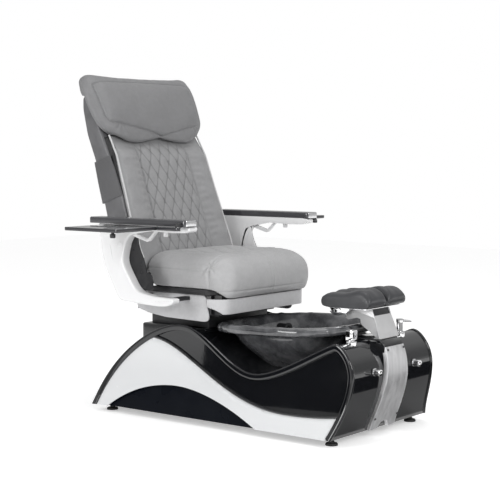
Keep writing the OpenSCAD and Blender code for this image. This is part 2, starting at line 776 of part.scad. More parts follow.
module seat_cushion() {
    half = seat_width / 2;
    raw = [for (x = [-10:10]) x * 24];
    stations = concat([-half, 4 - half, 13 - half, 26 - half, 42 - half], raw, [half - 42, half - 26, half - 13, half - 4, half]);
    color([0.76, 0.76, 0.77]) loft([for (j = [0:len(stations) - 1]) let(x = stations[j], m = abs(x),
            g = m < half - 105 ? 1 : 0.1 + 0.9 * sqrt(max(0, 1 - pow((m - half + 105) / 105, 2))),
            back = m < half - 75 ? 0 : 75 * (1 - sqrt(max(0, 1 - pow((m - half + 75) / 75, 2)))),
            dip = 1 - clamp01((m - half + 35) / 35))
        [for (i = [0:len(seat_ring) - 1]) let(p = seat_ring[i],
                tuft = (i > 15 && i < 25 && m < 250) ? ((i + j) % 2 == 0 ? 0 : -5) : 0,
                crown = seat_height - 695,
                z = p[1] > piping_height ? piping_height + (p[1] + crown - piping_height) * g
                    : p[1] < pan_top ? pan_top - (pan_top - p[1]) * dip : p[1])
            [x, p[0] + back * clamp01((140 - p[0]) / 220), z + tuft]]]);
}

// plan of the front skirt, right end to left end, following the rounded front of the seat
skirt_plan = [for (k = [-1, 1]) for (i = [0:6]) let(q = [[299, 20], [296, 0], [289, -18], [278, -34], [264, -48], [250, -56],
    [236, -60]][k < 0 ? i : 6 - i]) [k * q[0], q[1]]];
skirt_low = 455;
skirt_top = 516;
skirt_thick = 5;

module front_skirt() {
    color([0.68, 0.68, 0.7]) {
        intersection() {
            difference() {
                linear_extrude(skirt_top) polygon(concat(skirt_plan, [[skirt_plan[13][0], 30], [skirt_plan[0][0], 30]]));
                translate([0, 0, -1]) linear_extrude(skirt_top + 2) offset(delta = -skirt_thick)
                    polygon(concat(skirt_plan, [[skirt_plan[13][0], 60], [skirt_plan[0][0], 60]]));
            }
            front_prism([[268, skirt_low], [292, 478], [302, 498], [302, skirt_top], [-302, skirt_top], [-302, 498],
                [-292, 478], [-268, skirt_low]], -70, 20);
        }
        box(-232, 232, -57, -30, 508, 514);
    }
}

module side_skirt_left() {
    color([0.68, 0.68, 0.7]) difference() {
        side_prism([[37, 529], [17, 440], [22, 428], [60, 423], [250, 425], [345, 436], [405, 452], [412, 470], [412, 529]],
            280, 288);
        box(270, 300, 116, 150, 504, 522);
        box(270, 300, 316, 350, 504, 522);
    }
}

module side_skirt_right()
    other_side() side_skirt_left();

// ---------------------------------------------------------------- arms and trays

arm_outline = [
    [505, 812], [492, 766], [485, 699], [469, 642], [444, 597], [419, 552], [397, 514], [386, 502], [370, 497], [251, 489],
    [170, 486], [126, 489], [98, 500], [87, 514], [91, 521], [104, 523], [153, 524], [198, 526], [243, 532], [272, 539],
    [289, 546], [307, 564], [330, 598], [351, 630], [362, 652], [365, 671], [361, 697], [350, 733], [337, 756],
    [318, 771], [262, 782], [209, 790], [100, 786], [30, 788], [6, 794], [0, 803], [4, 812], [30, 815], [480, 815]];

// steel plate behind the arm moulding, showing as a dark edge in front of it
core_outline = [[488, 775], [481, 699], [465, 642], [440, 597], [415, 552], [393, 515], [384, 506], [369, 501],
    [251, 493], [170, 490], [127, 493], [102, 503], [93, 513], [104, 518], [153, 520], [198, 522], [243, 528],
    [270, 536], [286, 546], [262, 558], [256, 572], [262, 590], [268, 615], [275, 642], [288, 676], [303, 704],
    [314, 735], [318, 765], [318, 775]];

module arm_left() {
    color([0.95, 0.95, 0.95]) difference() {
        union() {
            side_prism(arm_outline, arm_in + arm_core, arm_out);
            // thin inner face over the top of the plate
            intersection() {
                side_prism(arm_outline, arm_in, arm_in + arm_core + 1);
                box(arm_in - 1, arm_out, 0, 520, 672, board_low);
            }
        }
        side_prism(core_outline, arm_in + arm_skin, arm_in + arm_core);
        rod_z(700, 808, clamp_x, clamp_y, 5 + running_fit);
    }
}

module arm_right()
    other_side() arm_left();

module arm_board_left() {
    color([0.35, 0.36, 0.38]) difference() {
        union() {
            box(board_in, board_out, 12, 524, board_low, board_top);
            hull() {
                rod_z(board_low, board_top - 4, board_in + 10, 8, 10);
                rod_z(board_low, board_top - 4, board_out - 10, 8, 10);
                rod_z(board_low + 3, board_top, board_in + 12, 12, 8);
                rod_z(board_low + 3, board_top, board_out - 12, 12, 8);
            }
            // knuckle that carries the tray
            box(board_out - 4, pivot_tray_x, pivot_tray_y - 10, pivot_tray_y + 10, board_low, board_low + 16);
            rod_z(tray_top + slip_gap, board_low + 16, pivot_tray_x, pivot_tray_y, 11.5);
        }
        rod_z(tray_top - 5, board_low + 12, pivot_tray_x, pivot_tray_y, tray_pin / 2 + running_fit);
    }
}

module arm_board_right()
    other_side() arm_board_left();

// bent brace between the arm post and the beam under the board
module arm_strut_left() {
    color([0.93, 0.93, 0.93]) difference() {
        side_prism([[332, 779], [328, 767], [244, 744], [233, 747], [188, 790], [200, 792], [240, 757], [304, 776]],
            arm_in + arm_core + 9, arm_out - 17);
        side_prism(arm_outline, arm_in, arm_out);
    }
}

module arm_strut_right()
    other_side() arm_strut_left();

module tray_left() {
    color([0.2, 0.21, 0.23]) difference() {
        union() {
            box(tray_in, tray_in + tray_width, tray_y, tray_y + tray_length, tray_low, tray_top);
            box(tray_in, tray_in + 18, pivot_tray_y, tray_y + 1, tray_low, tray_top);
            rod_z(tray_low, tray_top, pivot_tray_x, pivot_tray_y, 11);
            rod_z(tray_low, board_low + 11, pivot_tray_x, pivot_tray_y, tray_pin / 2);
            rod_z(tray_low - 6, tray_low, tray_in + tray_width - 22, tray_y + 40, 7);
            rod_z(tray_low - 22, tray_low - 6, tray_in + tray_width - 22, tray_y + 40, 11);
        }
        box(tray_in + 11, tray_in + tray_width - 11, tray_y + 11, tray_y + tray_length - 11, tray_top - 3, tray_top + 5);
    }
}

module tray_right()
    other_side() tray_left();

module board_clamp_left() {
    color([0.2, 0.2, 0.22]) {
        rod_z(769, 787, clamp_x, clamp_y, 10);
        rod_z(786, 806, clamp_x, clamp_y, 5);
    }
}

module board_clamp_right()
    other_side() board_clamp_left();

// ---------------------------------------------------------------- recline drive

rod_z0 = pivot_z - lever_drop;
pin_y = pivot_y + lever_drop * tan(lever_swing);

module recline_actuator() {
    color([0.2, 0.2, 0.22]) difference() {
        union() {
            rod_y(10, 270, 0, rod_z0, 21);
            box(-22, 22, 0, 70, rod_z0 - 19, rod_z0 + 30);
            box(-14, 14, 190, 215, rod_z0 + 10, 500);
        }
        rod_y(60, 300, 0, rod_z0, 11 + running_fit);
    }
}

module recline_rod() {
    color([0.8, 0.8, 0.82]) difference() {
        union() {
            rod_y(130, pin_y - 30, 0, rod_z0, 11);
            both_sides() box(5.5, 11, pin_y - 34, pin_y + 9, rod_z0 - 9, rod_z0 + 9);
            box(-11, 11, pin_y - 42, pin_y - 30, rod_z0 - 9, rod_z0 + 9);
            rod_x(-13, 13, pin_y, rod_z0, lever_pin / 2);
        }
    }
}

// ---------------------------------------------------------------- back

shell_half = shell_width / 2;
shell_front = [[44, 45], [44, 275], [47, 373], [40, 500], [30, 562], [15, 696], [12, 780], [2, 838]];
shell_rear = [[-32, 842], [-50, 790], [-62, 680], [-54, 557], [-62, 412], [-70, 311], [-66, 180], [-40, 45]];

module back_frame() {
    color([0.12, 0.12, 0.14]) {
        both_sides() {
            back_prism([[-20, -14], [-12, -21], [10, -21], [18, -10], [22, 100], [18, 168], [8, 175], [-20, 175]],
                shell_half, shell_half + 6);
            back_box(250, 272, -34, -12, 30, 790);
            on_back() rod_z(100, 640, 95, 34, 8);
            back_box(250, shell_half - 6, -34, -12, 30, 52);
        }
        difference() {
            union() {
                back_box(-250, 250, -34, -12, 30, 52);
                back_box(-272, 272, -41, -22, 88, 100);
                back_box(-272, 272, -46, -22, 640, 656);
                back_box(-250, 250, -34, -12, 768, 790);
            }
        }
        rod_x(-shell_half - 6, shell_half + 6, pivot_y, pivot_z, pivot_tube / 2);
        both_sides() back_box(225, 247, -34, -5, 0, 32);
    }
    // drive lever with its slot
    color([0.12, 0.12, 0.14]) translate([0, pivot_y, pivot_z]) rotate([lever_swing, 0, 0]) difference() {
        box(-5, 5, -15, 15, -lever_drop - 18, 0);
        hull() {
            rod_x(-20, 20, 0, -lever_drop + 1.5, lever_pin / 2 + 0.6);
            rod_x(-20, 20, 0, -lever_drop / cos(lever_swing) - 2, lever_pin / 2 + 0.6);
        }
    }
}

module back_shell() {
    color([0.36, 0.36, 0.38]) difference() {
        back_prism(concat(shell_front, shell_rear), -shell_half, shell_half);
        back_prism(concat([[60, 44]], [for (p = shell_front) [p[0] + 20, p[1]]],
            [for (p = shell_rear) [p[0] + 6, p[1] - (p[1] > 800 ? 6 : 0)]], [[-30, 44]]), 6 - shell_half, shell_half - 6);
    }
}

function back_half(s) = lookup(s, [[0, 314], [150, 313], [263, 306], [387, 298], [497, 294], [600, 290], [645, 289]]);
function shell_lip(s) = lookup(s, [[0, 44], [275, 44], [373, 47], [500, 40], [562, 30], [700, 15]]);

module back_cushion() {
    stations = concat([34, 37, 45, 58], [for (k = [0:17]) 80 + k * 30], [608, 624, 636, 641]);
    color([0.62, 0.62, 0.63]) on_back() loft([for (j = [0:len(stations) - 1]) let(s = stations[j], w = back_half(s),
            lip = shell_lip(s) + 2, inner = shell_half - 6,
            g = s < 58 ? 0.45 + 0.55 * sqrt(max(0, 1 - pow((58 - s) / 26, 2))) : 1,
            top = s > 540 ? (s - 540) / 82 : 0, low = s < 150 ? (150 - s) / 110 : 0,
            f = function(d) 12 + (d - 12) * g - top * max(0, d - 44),
            seam = 162 + (600 - s) * 0.036,
            ripple = 3 * cos(s * 360 / 90),
            half = [[0, 12, 0], [150, 12, 0], [inner - 12, 12, 0], [inner, 18, 0], [inner, lip, 0],
                [w, lip + 6, 1], [w, 60, 1], [w - 7, 71, 1], [w - 28, 78 + ripple - low * 4, 1],
                [w - 60, 81 + ripple - low * 6, 1], [w - 92, 78 + ripple - low * 4, 1],
                [seam + 12, 72, 1], [seam, 62, 1], [seam - 14, 68, 1], [seam - 52, 72, 2], [seam - 90, 72, 3], [38, 72, 2]])
        concat([for (i = [0:len(half) - 1]) let(p = half[i], q = (p[2] > 1) ? ((j + p[2]) % 2 == 0 ? 3 : -2) : 0)
                [p[0], -(p[2] == 0 ? p[1] : f(p[1] + q)), s]],
            [[0, -f(72 + (j % 2 == 0 ? -2 : 3)), s]],
            [for (i = [len(half) - 1:-1:1]) let(p = half[i], q = (p[2] > 1) ? ((j + p[2]) % 2 == 0 ? 3 : -2) : 0)
                [-p[0], -(p[2] == 0 ? p[1] : f(p[1] + q)), s]])]);
}

function pillow_bottom(x) = lookup(abs(x), [[0, 618], [60, 606], [120, 597], [159, 595], [210, 603], [260, 626], [300, 656],
    [321, 678], [335, 706], [344, 740], [352, 775]]);
function pillow_top(x) = lookup(abs(x), [[0, 915], [120, 916], [240, 921], [290, 926], [316, 922], [333, 905], [345, 878],
    [352, 846]]);

module head_pillow() {
    k = pillow_width / 700;
    half = [0, 26, 52, 78, 104, 130, 156, 182, 208, 234, 258, 280, 298, 312, 324, 334, 342, 348, 351];
    stations = concat([for (i = [len(half) - 1:-1:1]) -half[i]], half);
    color([0.54, 0.54, 0.55]) on_back() loft([for (x = stations) let(m = abs(x), sb = pillow_bottom(x), st = pillow_top(x),
            q = pow(max(0.0, 1 - pow(m / 354, 5)), 0.5), v = 618 + m * 0.36,
            r1 = max(645, sb + 12), r2 = max(653, sb + 20),
            raise = function(s) (s > v && s < 872 && m < 292) ? 5 : 0,
            f = function(d) 22 + (d - 22) * q,
            lo = function(t) sb + (st - sb) * t)
        [for (p = concat(
            [[m < 270 ? 58 : f(50), sb + 4], [m < 270 ? 57 : f(46), m < 270 ? 640 : sb + 8],
                [24.5, r1], [23, r2], [19, max(740, r2 + 6)], [17, max(800, r2 + 12)]],
            m < 318 ? [[14, 836.7], [-28, 841.6], [-33, 865], [-30, st - 16], [-17, st - 3]]
                : [[15, 815], [f(5), 830], [f(0), 840], [f(2), st - 12], [f(8), st - 4]],
            [[f(2), st], [f(26), st - 2], [f(48), st - 13], [f(60), st - 32], [f(70) + raise(lo(0.80)), lo(0.82)],
                [f(78) + raise(lo(0.70)), lo(0.71)], [f(84) + raise(lo(0.58)), lo(0.59)], [f(88) + raise(lo(0.47)), lo(0.47)],
                [f(90) + raise(lo(0.36)), lo(0.35)], [f(91) + raise(lo(0.25)), lo(0.24)], [f(91) + raise(lo(0.14)), lo(0.14)],
                [f(88), lo(0.07)], [f(79), lo(0.02)], [f(68), sb]]))
            [x * k, -p[0], p[1]]]]);
}

module back_sleeve() {
    color([0.3, 0.3, 0.32]) difference() {
        back_prism([[46, 372], [40, 553], [-58, 553], [-66, 470], [-72, 371]], -shell_half - 3, shell_half + 3);
        back_prism([[80, 300], [80, 600], [-53.9, 600], [-54, 557], [-62, 412], [-71, 300]], -shell_half, shell_half);
    }
}

module massage_carriage() {
    color([0.25, 0.25, 0.27]) on_back() difference() {
        union() {
            box(-115, 115, 24, 44, 330, 400);
            both_sides() box(36, 44, -4, 30, 352, 378);
        }
        both_sides() rod_z(300, 420, 95, 34, 8 + running_fit);
        rod_x(-120, 120, 4, 365, 5 + running_fit);
    }
}

module massage_rollers() {
    color([0.8, 0.8, 0.82]) on_back() {
        rod_x(-70, 70, 4, 365, 5);
        both_sides() rod_x(48, 68, 4, 365, 14);
    }
}

base_shell();
side_rim_right();
side_rim_left();
side_panel_right();
side_panel_left();
toe_kick_right();
toe_kick_left();
front_panel();
front_panel_screws();
base_frame();
levelling_foot_front_right();
levelling_foot_front_left();
levelling_foot_rear_right();
levelling_foot_rear_left();
seat_pedestal();
slide_rails();
bowl();
drain_body();
drain_stopper();
jet_pump();
jet_cover();
jet_impeller();
mixer_body();
mixer_lever();
diverter_body();
diverter_knob();
front_valves();
front_knob_right();
front_knob_left();
supply_tails();
footrest_bracket();
footrest_slider();
pad_bracket();
foot_pad_right();
foot_pad_left();
seat_frame();
seat_pan();
seat_cushion();
front_skirt();
side_skirt_right();
side_skirt_left();
arm_right();
arm_left();
arm_board_right();
arm_board_left();
arm_strut_right();
arm_strut_left();
tray_right();
tray_left();
board_clamp_right();
board_clamp_left();
recline_actuator();
recline_rod();
back_frame();
back_shell();
back_cushion();
head_pillow();
back_sleeve();
massage_carriage();
massage_rollers();
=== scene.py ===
import math
import bpy
import bmesh
import numpy as np
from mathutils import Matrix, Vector, noise
from mathutils.geometry import delaunay_2d_cdt

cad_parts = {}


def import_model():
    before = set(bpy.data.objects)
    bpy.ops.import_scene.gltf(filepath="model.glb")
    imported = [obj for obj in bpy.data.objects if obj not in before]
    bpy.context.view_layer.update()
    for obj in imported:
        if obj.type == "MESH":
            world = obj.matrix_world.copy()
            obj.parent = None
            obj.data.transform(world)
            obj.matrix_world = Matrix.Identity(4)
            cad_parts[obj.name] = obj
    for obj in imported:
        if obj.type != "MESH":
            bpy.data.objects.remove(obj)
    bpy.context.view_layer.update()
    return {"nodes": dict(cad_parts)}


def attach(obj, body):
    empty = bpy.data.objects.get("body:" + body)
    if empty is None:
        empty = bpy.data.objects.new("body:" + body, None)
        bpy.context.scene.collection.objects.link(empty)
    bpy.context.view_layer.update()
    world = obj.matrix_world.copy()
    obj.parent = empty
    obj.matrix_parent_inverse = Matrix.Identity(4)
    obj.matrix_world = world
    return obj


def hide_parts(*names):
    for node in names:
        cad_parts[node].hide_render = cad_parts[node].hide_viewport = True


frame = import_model()
rng = np.random.default_rng(7)

# Shared sizes in millimetres. LEAN is the back's angle from upright at rest.
FOOT_Z = 28
DECK_Z = 383
BOWL_Y, BOWL_Z = -237.0, 222
BOWL_POWER = 3.15
PIVOT_Y, PIVOT_Z = 400, 560
LEAN = math.radians(19.2)
SEAT_DIAMOND = (98, 120)
BACK_DIAMOND = (60, 114)
QUILT_X, QUILT_S = 14, 502


# ---------- finishes
class Socket:
    """An output socket of one material, with arithmetic."""

    def __init__(self, mat, sock):
        self.mat, self.sock = mat, sock

    def __add__(self, o):
        return self.mat.math("ADD", self, o)

    def __sub__(self, o):
        return self.mat.math("SUBTRACT", self, o)

    def __rsub__(self, o):
        return self.mat.math("SUBTRACT", o, self)

    def __mul__(self, o):
        return self.mat.math("MULTIPLY", self, o)

    __radd__ = __add__
    __rmul__ = __mul__


class Finish:
    """One node material around a Principled shader."""

    def __init__(self, name, **constants):
        self.m = bpy.data.materials.new(name)
        self.m.use_nodes = True
        self.t = self.m.node_tree
        self.b = self.t.nodes["Principled BSDF"]
        for k, v in constants.items():
            k = k.replace("_", " ")
            self.b.inputs[k].default_value = (*v, 1) if isinstance(v, tuple) else v

    def node(self, kind, out=0, props=None, **ins):
        n = self.t.nodes.new("ShaderNode" + kind)
        for k, v in (props or {}).items():
            setattr(n, k, v)
        for k, v in ins.items():
            numbered = k[0] == "i" and k[1:].isdigit()
            self.put(n.inputs[int(k[1:]) if numbered else k.replace("_", " ")], v)
        return Socket(self, n.outputs[out])

    def put(self, sock, v):
        if isinstance(v, Socket):
            self.t.links.new(v.sock, sock)
        elif isinstance(v, tuple) and len(v) == 3 and sock.type == "RGBA":
            sock.default_value = (*v, 1)
        else:
            sock.default_value = v

    def math(self, op, a, b=0.0):
        return self.node("Math", props={"operation": op}, i0=a, i1=b)

    def tint(self, k, colour):
        """A colour made lighter or darker by k."""
        return self.node("CombineColor", Red=k * colour[0], Green=k * colour[1], Blue=k * colour[2])

    def xyz(self):
        co = self.node("TexCoord", out=3)
        s = self.t.nodes.new("ShaderNodeSeparateXYZ")
        self.put(s.inputs[0], co)
        return [Socket(self, o) for o in s.outputs]

    def at(self, sx=1.0, sy=1.0, sz=1.0):
        return self.node("Mapping", Vector=self.node("TexCoord", out=3), Scale=(sx, sy, sz))

    def noise(self, scale, detail=4.0, rough=0.5, vec=None):
        return self.node("TexNoise", Vector=vec or self.at(), Scale=scale, Detail=detail, Roughness=rough)

    def cells(self, scale, feature="F1"):
        return self.node("TexVoronoi", props={"feature": feature}, Vector=self.at(), Scale=scale)

    def step(self, v, a, b, lo=0.0, hi=1.0):
        smooth = {"interpolation_type": "SMOOTHSTEP"}
        return self.node("MapRange", props=smooth, i0=v, i1=a, i2=b, i3=lo, i4=hi)

    def mix(self, f, a, b):
        return self.node("Mix", out=2, props={"data_type": "RGBA"}, i0=f, i6=a, i7=b)

    def bump(self, h, dist, strength):
        return self.node("Bump", Height=h, Distance=dist, Strength=strength)

    def use(self, **kw):
        for k, v in kw.items():
            self.put(self.b.inputs[k.replace("_", " ")], v)
        return self.m


def gloss(name, colour, rough=0.07, coat=0.5, dust=0.35, shine=0.5):
    """Lacquer with faint wear and fine specks of dust."""
    f = Finish(name, Coat_Weight=coat, Coat_Roughness=0.03, Specular_IOR_Level=shine)
    wear = f.noise(9, 6, 0.6)
    specks = f.step(f.cells(420), 0.05, 0.11, 1, 0) * f.step(f.noise(14, 2), 0.52, 0.68)
    c = f.mix(specks * dust, colour, tuple(min(1, v * 0.6 + 0.35) for v in colour))
    return f.use(Base_Color=c, Roughness=f.step(wear, 0.3, 0.8, rough * 0.7, rough * 1.9),
                 Normal=f.bump(f.noise(55, 2), 0.0006, 0.12))


def steel(name, colour, rough, along, metal=0.95, flat=0.1):
    """Metal with brush streaks that a small scale in along draws out."""
    f = Finish(name, Metallic=metal)
    streak = f.noise(60, 5, 0.6, f.at(*along))
    blotch = f.noise(7, 3)
    k = f.step(streak, 0.3, 0.7, 1 - flat, 1 + flat * 0.6) * f.step(blotch, 0.3, 0.75, 0.98, 1.02)
    return f.use(Base_Color=f.tint(k, colour), Roughness=f.step(streak, 0.3, 0.7, rough * 0.8, rough * 1.25),
                 Normal=f.bump(streak, 0.0002, 0.2))


def plastic(name, colour, rough=0.4, grain=900, depth=0.0002):
    """Dull plastic, rubber or coated steel with a fine grain."""
    f = Finish(name)
    k = f.step(f.noise(18, 4), 0.3, 0.75, 0.88, 1.1)
    dull = f.step(f.noise(40, 3), 0.3, 0.7, rough * 0.85, rough * 1.2)
    return f.use(Base_Color=f.tint(k, colour), Roughness=dull, Normal=f.bump(f.noise(grain, 2), depth, 0.3))


def leather(name, colour, rough=0.42, fold=0.5, dark=None):
    """Grained leather: pebble cells with fine creases, soft mottling and uneven shine."""
    f = Finish(name, Specular_IOR_Level=0.45)
    mottle = f.noise(6, 5, 0.6)
    fine = f.noise(70, 4, 0.6)
    k = f.step(mottle, 0.25, 0.8, 0.93, 1.06) * f.step(fine, 0.3, 0.7, 0.97, 1.03)
    pebble = f.cells(520, "DISTANCE_TO_EDGE")
    crease = f.step(f.math("ABSOLUTE", f.noise(26, 6, 0.62) - 0.5), 0.0, 0.03, 0.0, 1.0)
    k = k * f.step(pebble, 0.0, 0.12, 0.94, 1.0)
    c = f.tint(k, colour)
    # An optional function paints shade into the colour.
    if dark:
        c = dark(f, c)
    h = f.step(pebble, 0.0, 0.25) * 0.6 + fine * 0.5 + crease * fold * 0.35
    return f.use(Base_Color=c, Roughness=f.step(f.noise(33, 4), 0.3, 0.7, rough * 0.85, rough * 1.2),
                 Normal=f.bump(h, 0.00045, 0.55))


def back_painted_shade(f, c):
    """Painted shade darkening the quilt's lines, and a painted black shadow where the cushion's sides meet
    the shell.
    """
    x, y, z = f.xyz()
    y, z = y - PIVOT_Y / 1000, z - PIVOT_Z / 1000
    d = y * -math.cos(LEAN) + z * math.sin(LEAN)
    s = y * math.sin(LEAN) + z * math.cos(LEAN)
    edge = f.step(s, 0.25, 0.62, 0.050, 0.058)
    side = f.math("ABSOLUTE", x)
    # Painted shadow: black where the cushion's sides meet the shell.
    gap = f.step(d - edge, -0.002, 0.001, 1, 0) * f.step(side, 0.276, 0.282)
    wide, tall = (k / 1000 for k in BACK_DIAMOND)
    across, along = (x - QUILT_X / 1000) * (math.pi / wide), (s - QUILT_S / 1000) * (math.pi / tall)
    line = f.math("ABSOLUTE", f.math("SINE", across + along) * f.math("SINE", across - along))
    insert = f.step(side + s * 0.016, 0.1640, 0.1696, 1, 0) * f.step(d, 0.045, 0.055)
    # Painted shade: the quilt's lines are darkened as if shaded in their grooves.
    groove_shade = f.step(line, 0.0, 0.16, 0.55, 0) * insert
    c = f.mix(groove_shade, c, (0.09, 0.09, 0.092))
    return f.mix(gap, c, (0.008, 0.008, 0.009))


def speckle(name):
    """Black lacquer with clouds of pale dots and flecks."""
    f = Finish(name, Coat_Weight=0.8, Coat_Roughness=0.03)
    dots = f.step(f.cells(430), 0.10, 0.2, 1, 0) * f.step(f.noise(60, 2), 0.42, 0.6)
    fleck = f.step(f.cells(240), 0.05, 0.13, 1, 0)
    cloud = f.step(f.noise(11, 5, 0.6), 0.35, 0.75)
    c = f.mix(cloud * 0.8, (0.045, 0.046, 0.050), (0.19, 0.192, 0.20))
    c = f.mix(dots * 0.55 + fleck * 0.35, c, (0.62, 0.63, 0.65))
    return f.use(Base_Color=c, Roughness=f.step(cloud, 0, 1, 0.05, 0.16),
                 Normal=f.bump(f.noise(34, 3, 0.5), 0.003, 0.35))


LOOKS = {
    "black": gloss("Gloss black shell", (0.0065, 0.007, 0.0085)),
    "rim": gloss("Gloss black rim", (0.006, 0.0065, 0.008), 0.05),
    "pearl": gloss("Pearl white panel", (0.74, 0.75, 0.76), 0.16, 0.5, 0.05),
    "toe": gloss("Toe kick black", (0.0022, 0.0034, 0.0065), 0.3, 0.04, 0.0, 0.08),
    "steel_v": steel("Satin stainless sheet", (0.80, 0.80, 0.81), 0.50, (1, 1, 0.05)),
    "steel_h": steel("Satin stainless plate", (0.60, 0.60, 0.605), 0.42, (1, 0.3, 0.9), 0.4, 0.03),
    "screw": steel("Dark screw steel", (0.10, 0.10, 0.105), 0.35, (1, 1, 1)),
    "chrome": steel("Polished chrome", (0.80, 0.80, 0.81), 0.07, (1, 1, 1), 1.0),
    "brass": steel("Plain brass", (0.55, 0.42, 0.20), 0.35, (1, 1, 1)),
    "iron": plastic("Black coated steel", (0.011, 0.011, 0.013), 0.32),
    "plastic": plastic("Black plastic", (0.020, 0.020, 0.022), 0.45),
    "rubber": plastic("Black rubber", (0.015, 0.015, 0.015), 0.7, 300),
    "bowl": speckle("Speckled black bowl"),
    "pad": plastic("Charcoal pad leather", (0.042, 0.043, 0.047), 0.36, 900, 0.00012),
    "seat": leather("Grey seat leather", (0.42, 0.42, 0.425), 0.40),
    # The back leather has painted shade in its quilt lines and a painted shadow at its sides.
    "back": leather("Grey back leather", (0.29, 0.29, 0.295), 0.42, dark=back_painted_shade),
    "pillow": leather("Grey pillow leather", (0.205, 0.205, 0.21), 0.40, fold=0.3),
    "piping": leather("Light piping", (0.58, 0.58, 0.585), 0.35),
    "skirt": leather("Light grey skirt", (0.56, 0.56, 0.57), 0.45, fold=0.9),
    "sleeve": leather("Dark grey sleeve", (0.10, 0.10, 0.104), 0.40, fold=0.8),
    "shell": plastic("Back shell grey", (0.13, 0.13, 0.135), 0.33, 500, 0.0003),
    "white": gloss("White arm gloss", (0.86, 0.86, 0.865), 0.12, 0.5, 0.03),
    "board": gloss("Arm board gloss", (0.05, 0.05, 0.055), 0.06, 0.8),
    "frame": gloss("Tray frame gloss", (0.03, 0.03, 0.034), 0.08, 0.6),
}


def mirror_glass():
    f = Finish("Tray glass", Metallic=0.85)
    smear = f.noise(12, 5, 0.6)
    c = f.mix(f.step(smear, 0.35, 0.75), (0.74, 0.745, 0.75), (0.66, 0.665, 0.67))
    return f.use(Base_Color=c, Roughness=f.step(smear, 0.3, 0.7, 0.02, 0.07))


LOOKS["glass"] = mirror_glass()


# ---------- mesh helpers, in millimetres
def add(name, verts, faces, mat, body, slot, replaces=(), angle=35, mats=None, tag=None):
    """A piece from points and faces, with its finish, body and the nodes that it replaces. Its slot is not
    used.
    """
    me = bpy.data.meshes.new(name)
    points = [tuple(v) for v in np.asarray(verts, float) * 0.001]
    me.from_pydata(points, [], [tuple(int(i) for i in f) for f in faces])
    bm = bmesh.new()
    bm.from_mesh(me)
    bmesh.ops.remove_doubles(bm, verts=bm.verts, dist=1e-5)
    bmesh.ops.recalc_face_normals(bm, faces=bm.faces)
    bm.to_mesh(me)
    bm.free()
    return finish_piece(name, me, mat, body, replaces, angle, mats=mats, tag=tag)


def finish_piece(name, me, mat, body, replaces, angle, bevel=0.0, mats=None, tag=None):
    o = bpy.data.objects.new(name.replace(" ", "_"), me)
    bpy.context.scene.collection.objects.link(o)
    if bevel:
        b = o.modifiers.new("Edge", "BEVEL")
        b.width, b.segments = bevel * 0.001, 3
        b.limit_method, b.angle_limit = "ANGLE", math.radians(38)
        me = baked(o)
    for m in mats or [mat]:
        me.materials.append(LOOKS[m])
    if tag:
        c = np.empty(len(me.polygons) * 3)
        n = np.empty(len(me.polygons) * 3)
        me.polygons.foreach_get("center", c)
        me.polygons.foreach_get("normal", n)
        second = tag(c.reshape(-1, 3) * 1000, n.reshape(-1, 3))
        me.polygons.foreach_set("material_index", second.astype(int))
    me.polygons.foreach_set("use_smooth", [True] * len(me.polygons))
    me.set_sharp_from_angle(angle=math.radians(angle))
    if replaces:
        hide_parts(*replaces)
    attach(o, body)
    return o


def baked(o):
    """Applies the object's modifiers."""
    dg = bpy.context.evaluated_depsgraph_get()
    me = bpy.data.meshes.new_from_object(o.evaluated_get(dg))
    o.modifiers.clear()
    o.data = me
    return me


def weave(rows, cols, closed=False, start=0):
    """Quads over a grid of rows by cols points, with the rows open or closed."""
    pairs = [(j, (j + 1) % cols) for j in range(cols if closed else cols - 1)]
    lows = range(start, start + (rows - 1) * cols, cols)
    return [(low + j, low + k, low + cols + k, low + cols + j) for low in lows for j, k in pairs]


def tube(rings):
    """Closed body through rings [m][n][3], with flat ends."""
    rings = np.asarray(rings, float)
    m, n = rings.shape[:2]
    ends = [tuple(range(n - 1, -1, -1)), tuple(range((m - 1) * n, m * n))]
    return rings.reshape(-1, 3), weave(m, n, closed=True) + ends


def sideways(rows, sign):
    """Turns the rings of a plate so that their depth runs along x, to the side that sign gives."""
    return np.stack([sign * rows[:, :, 2], rows[:, :, 0], rows[:, :, 1]], -1)


def curve(a, b, c, d, n):
    """A Bezier curve of n points, without its last one."""
    t = np.linspace(0, 1, n, endpoint=False)[:, None]
    a, b, c, d = (np.array(p, float) for p in (a, b, c, d))
    return (1 - t) ** 3 * a + 3 * (1 - t) ** 2 * t * b + 3 * (1 - t) * t * t * c + t ** 3 * d


def even(p, step, closed=False):
    """The polyline with points an even step apart."""
    p = np.asarray(p, float)
    if closed:
        p = np.vstack([p, p[:1]])
    s = np.concatenate([[0], np.cumsum(np.linalg.norm(np.diff(p, axis=0), axis=1))])
    n = max(4, int(round(s[-1] / step)))
    t = np.linspace(0, s[-1], n, endpoint=False) if closed else np.linspace(0, s[-1], n + 1)
    return np.stack([np.interp(t, s, p[:, k]) for k in range(p.shape[1])], axis=1)


def soften(p, times, closed=True):
    """Rounds the corners of an even polyline."""
    for _ in range(times):
        q = (np.roll(p, 1, 0) + 2 * p + np.roll(p, -1, 0)) / 4
        if not closed:
            q[0], q[-1] = p[0], p[-1]
        p = q
    return p


def normals(p, closed):
    """Unit normals of a plane polyline, to the left of its run."""
    d = (np.roll(p, -1, 0) - np.roll(p, 1, 0)) if closed else np.gradient(p, axis=0)
    d /= np.maximum(np.linalg.norm(d, axis=1), 1e-9)[:, None]
    return np.stack([-d[:, 1], d[:, 0]], axis=1)


def away(q, line, closed=False):
    """Distance of points q [n][2] from a polyline."""
    line = np.asarray(line, float)
    if closed:
        line = np.vstack([line, line[:1]])
    best = np.full(len(q), 1e9)
    for a, b in zip(line[:-1], line[1:]):
        d = b - a
        t = np.clip(((q - a) @ d) / max(d @ d, 1e-12), 0, 1)
        best = np.minimum(best, np.linalg.norm(q - a - t[:, None] * d, axis=1))
    return best


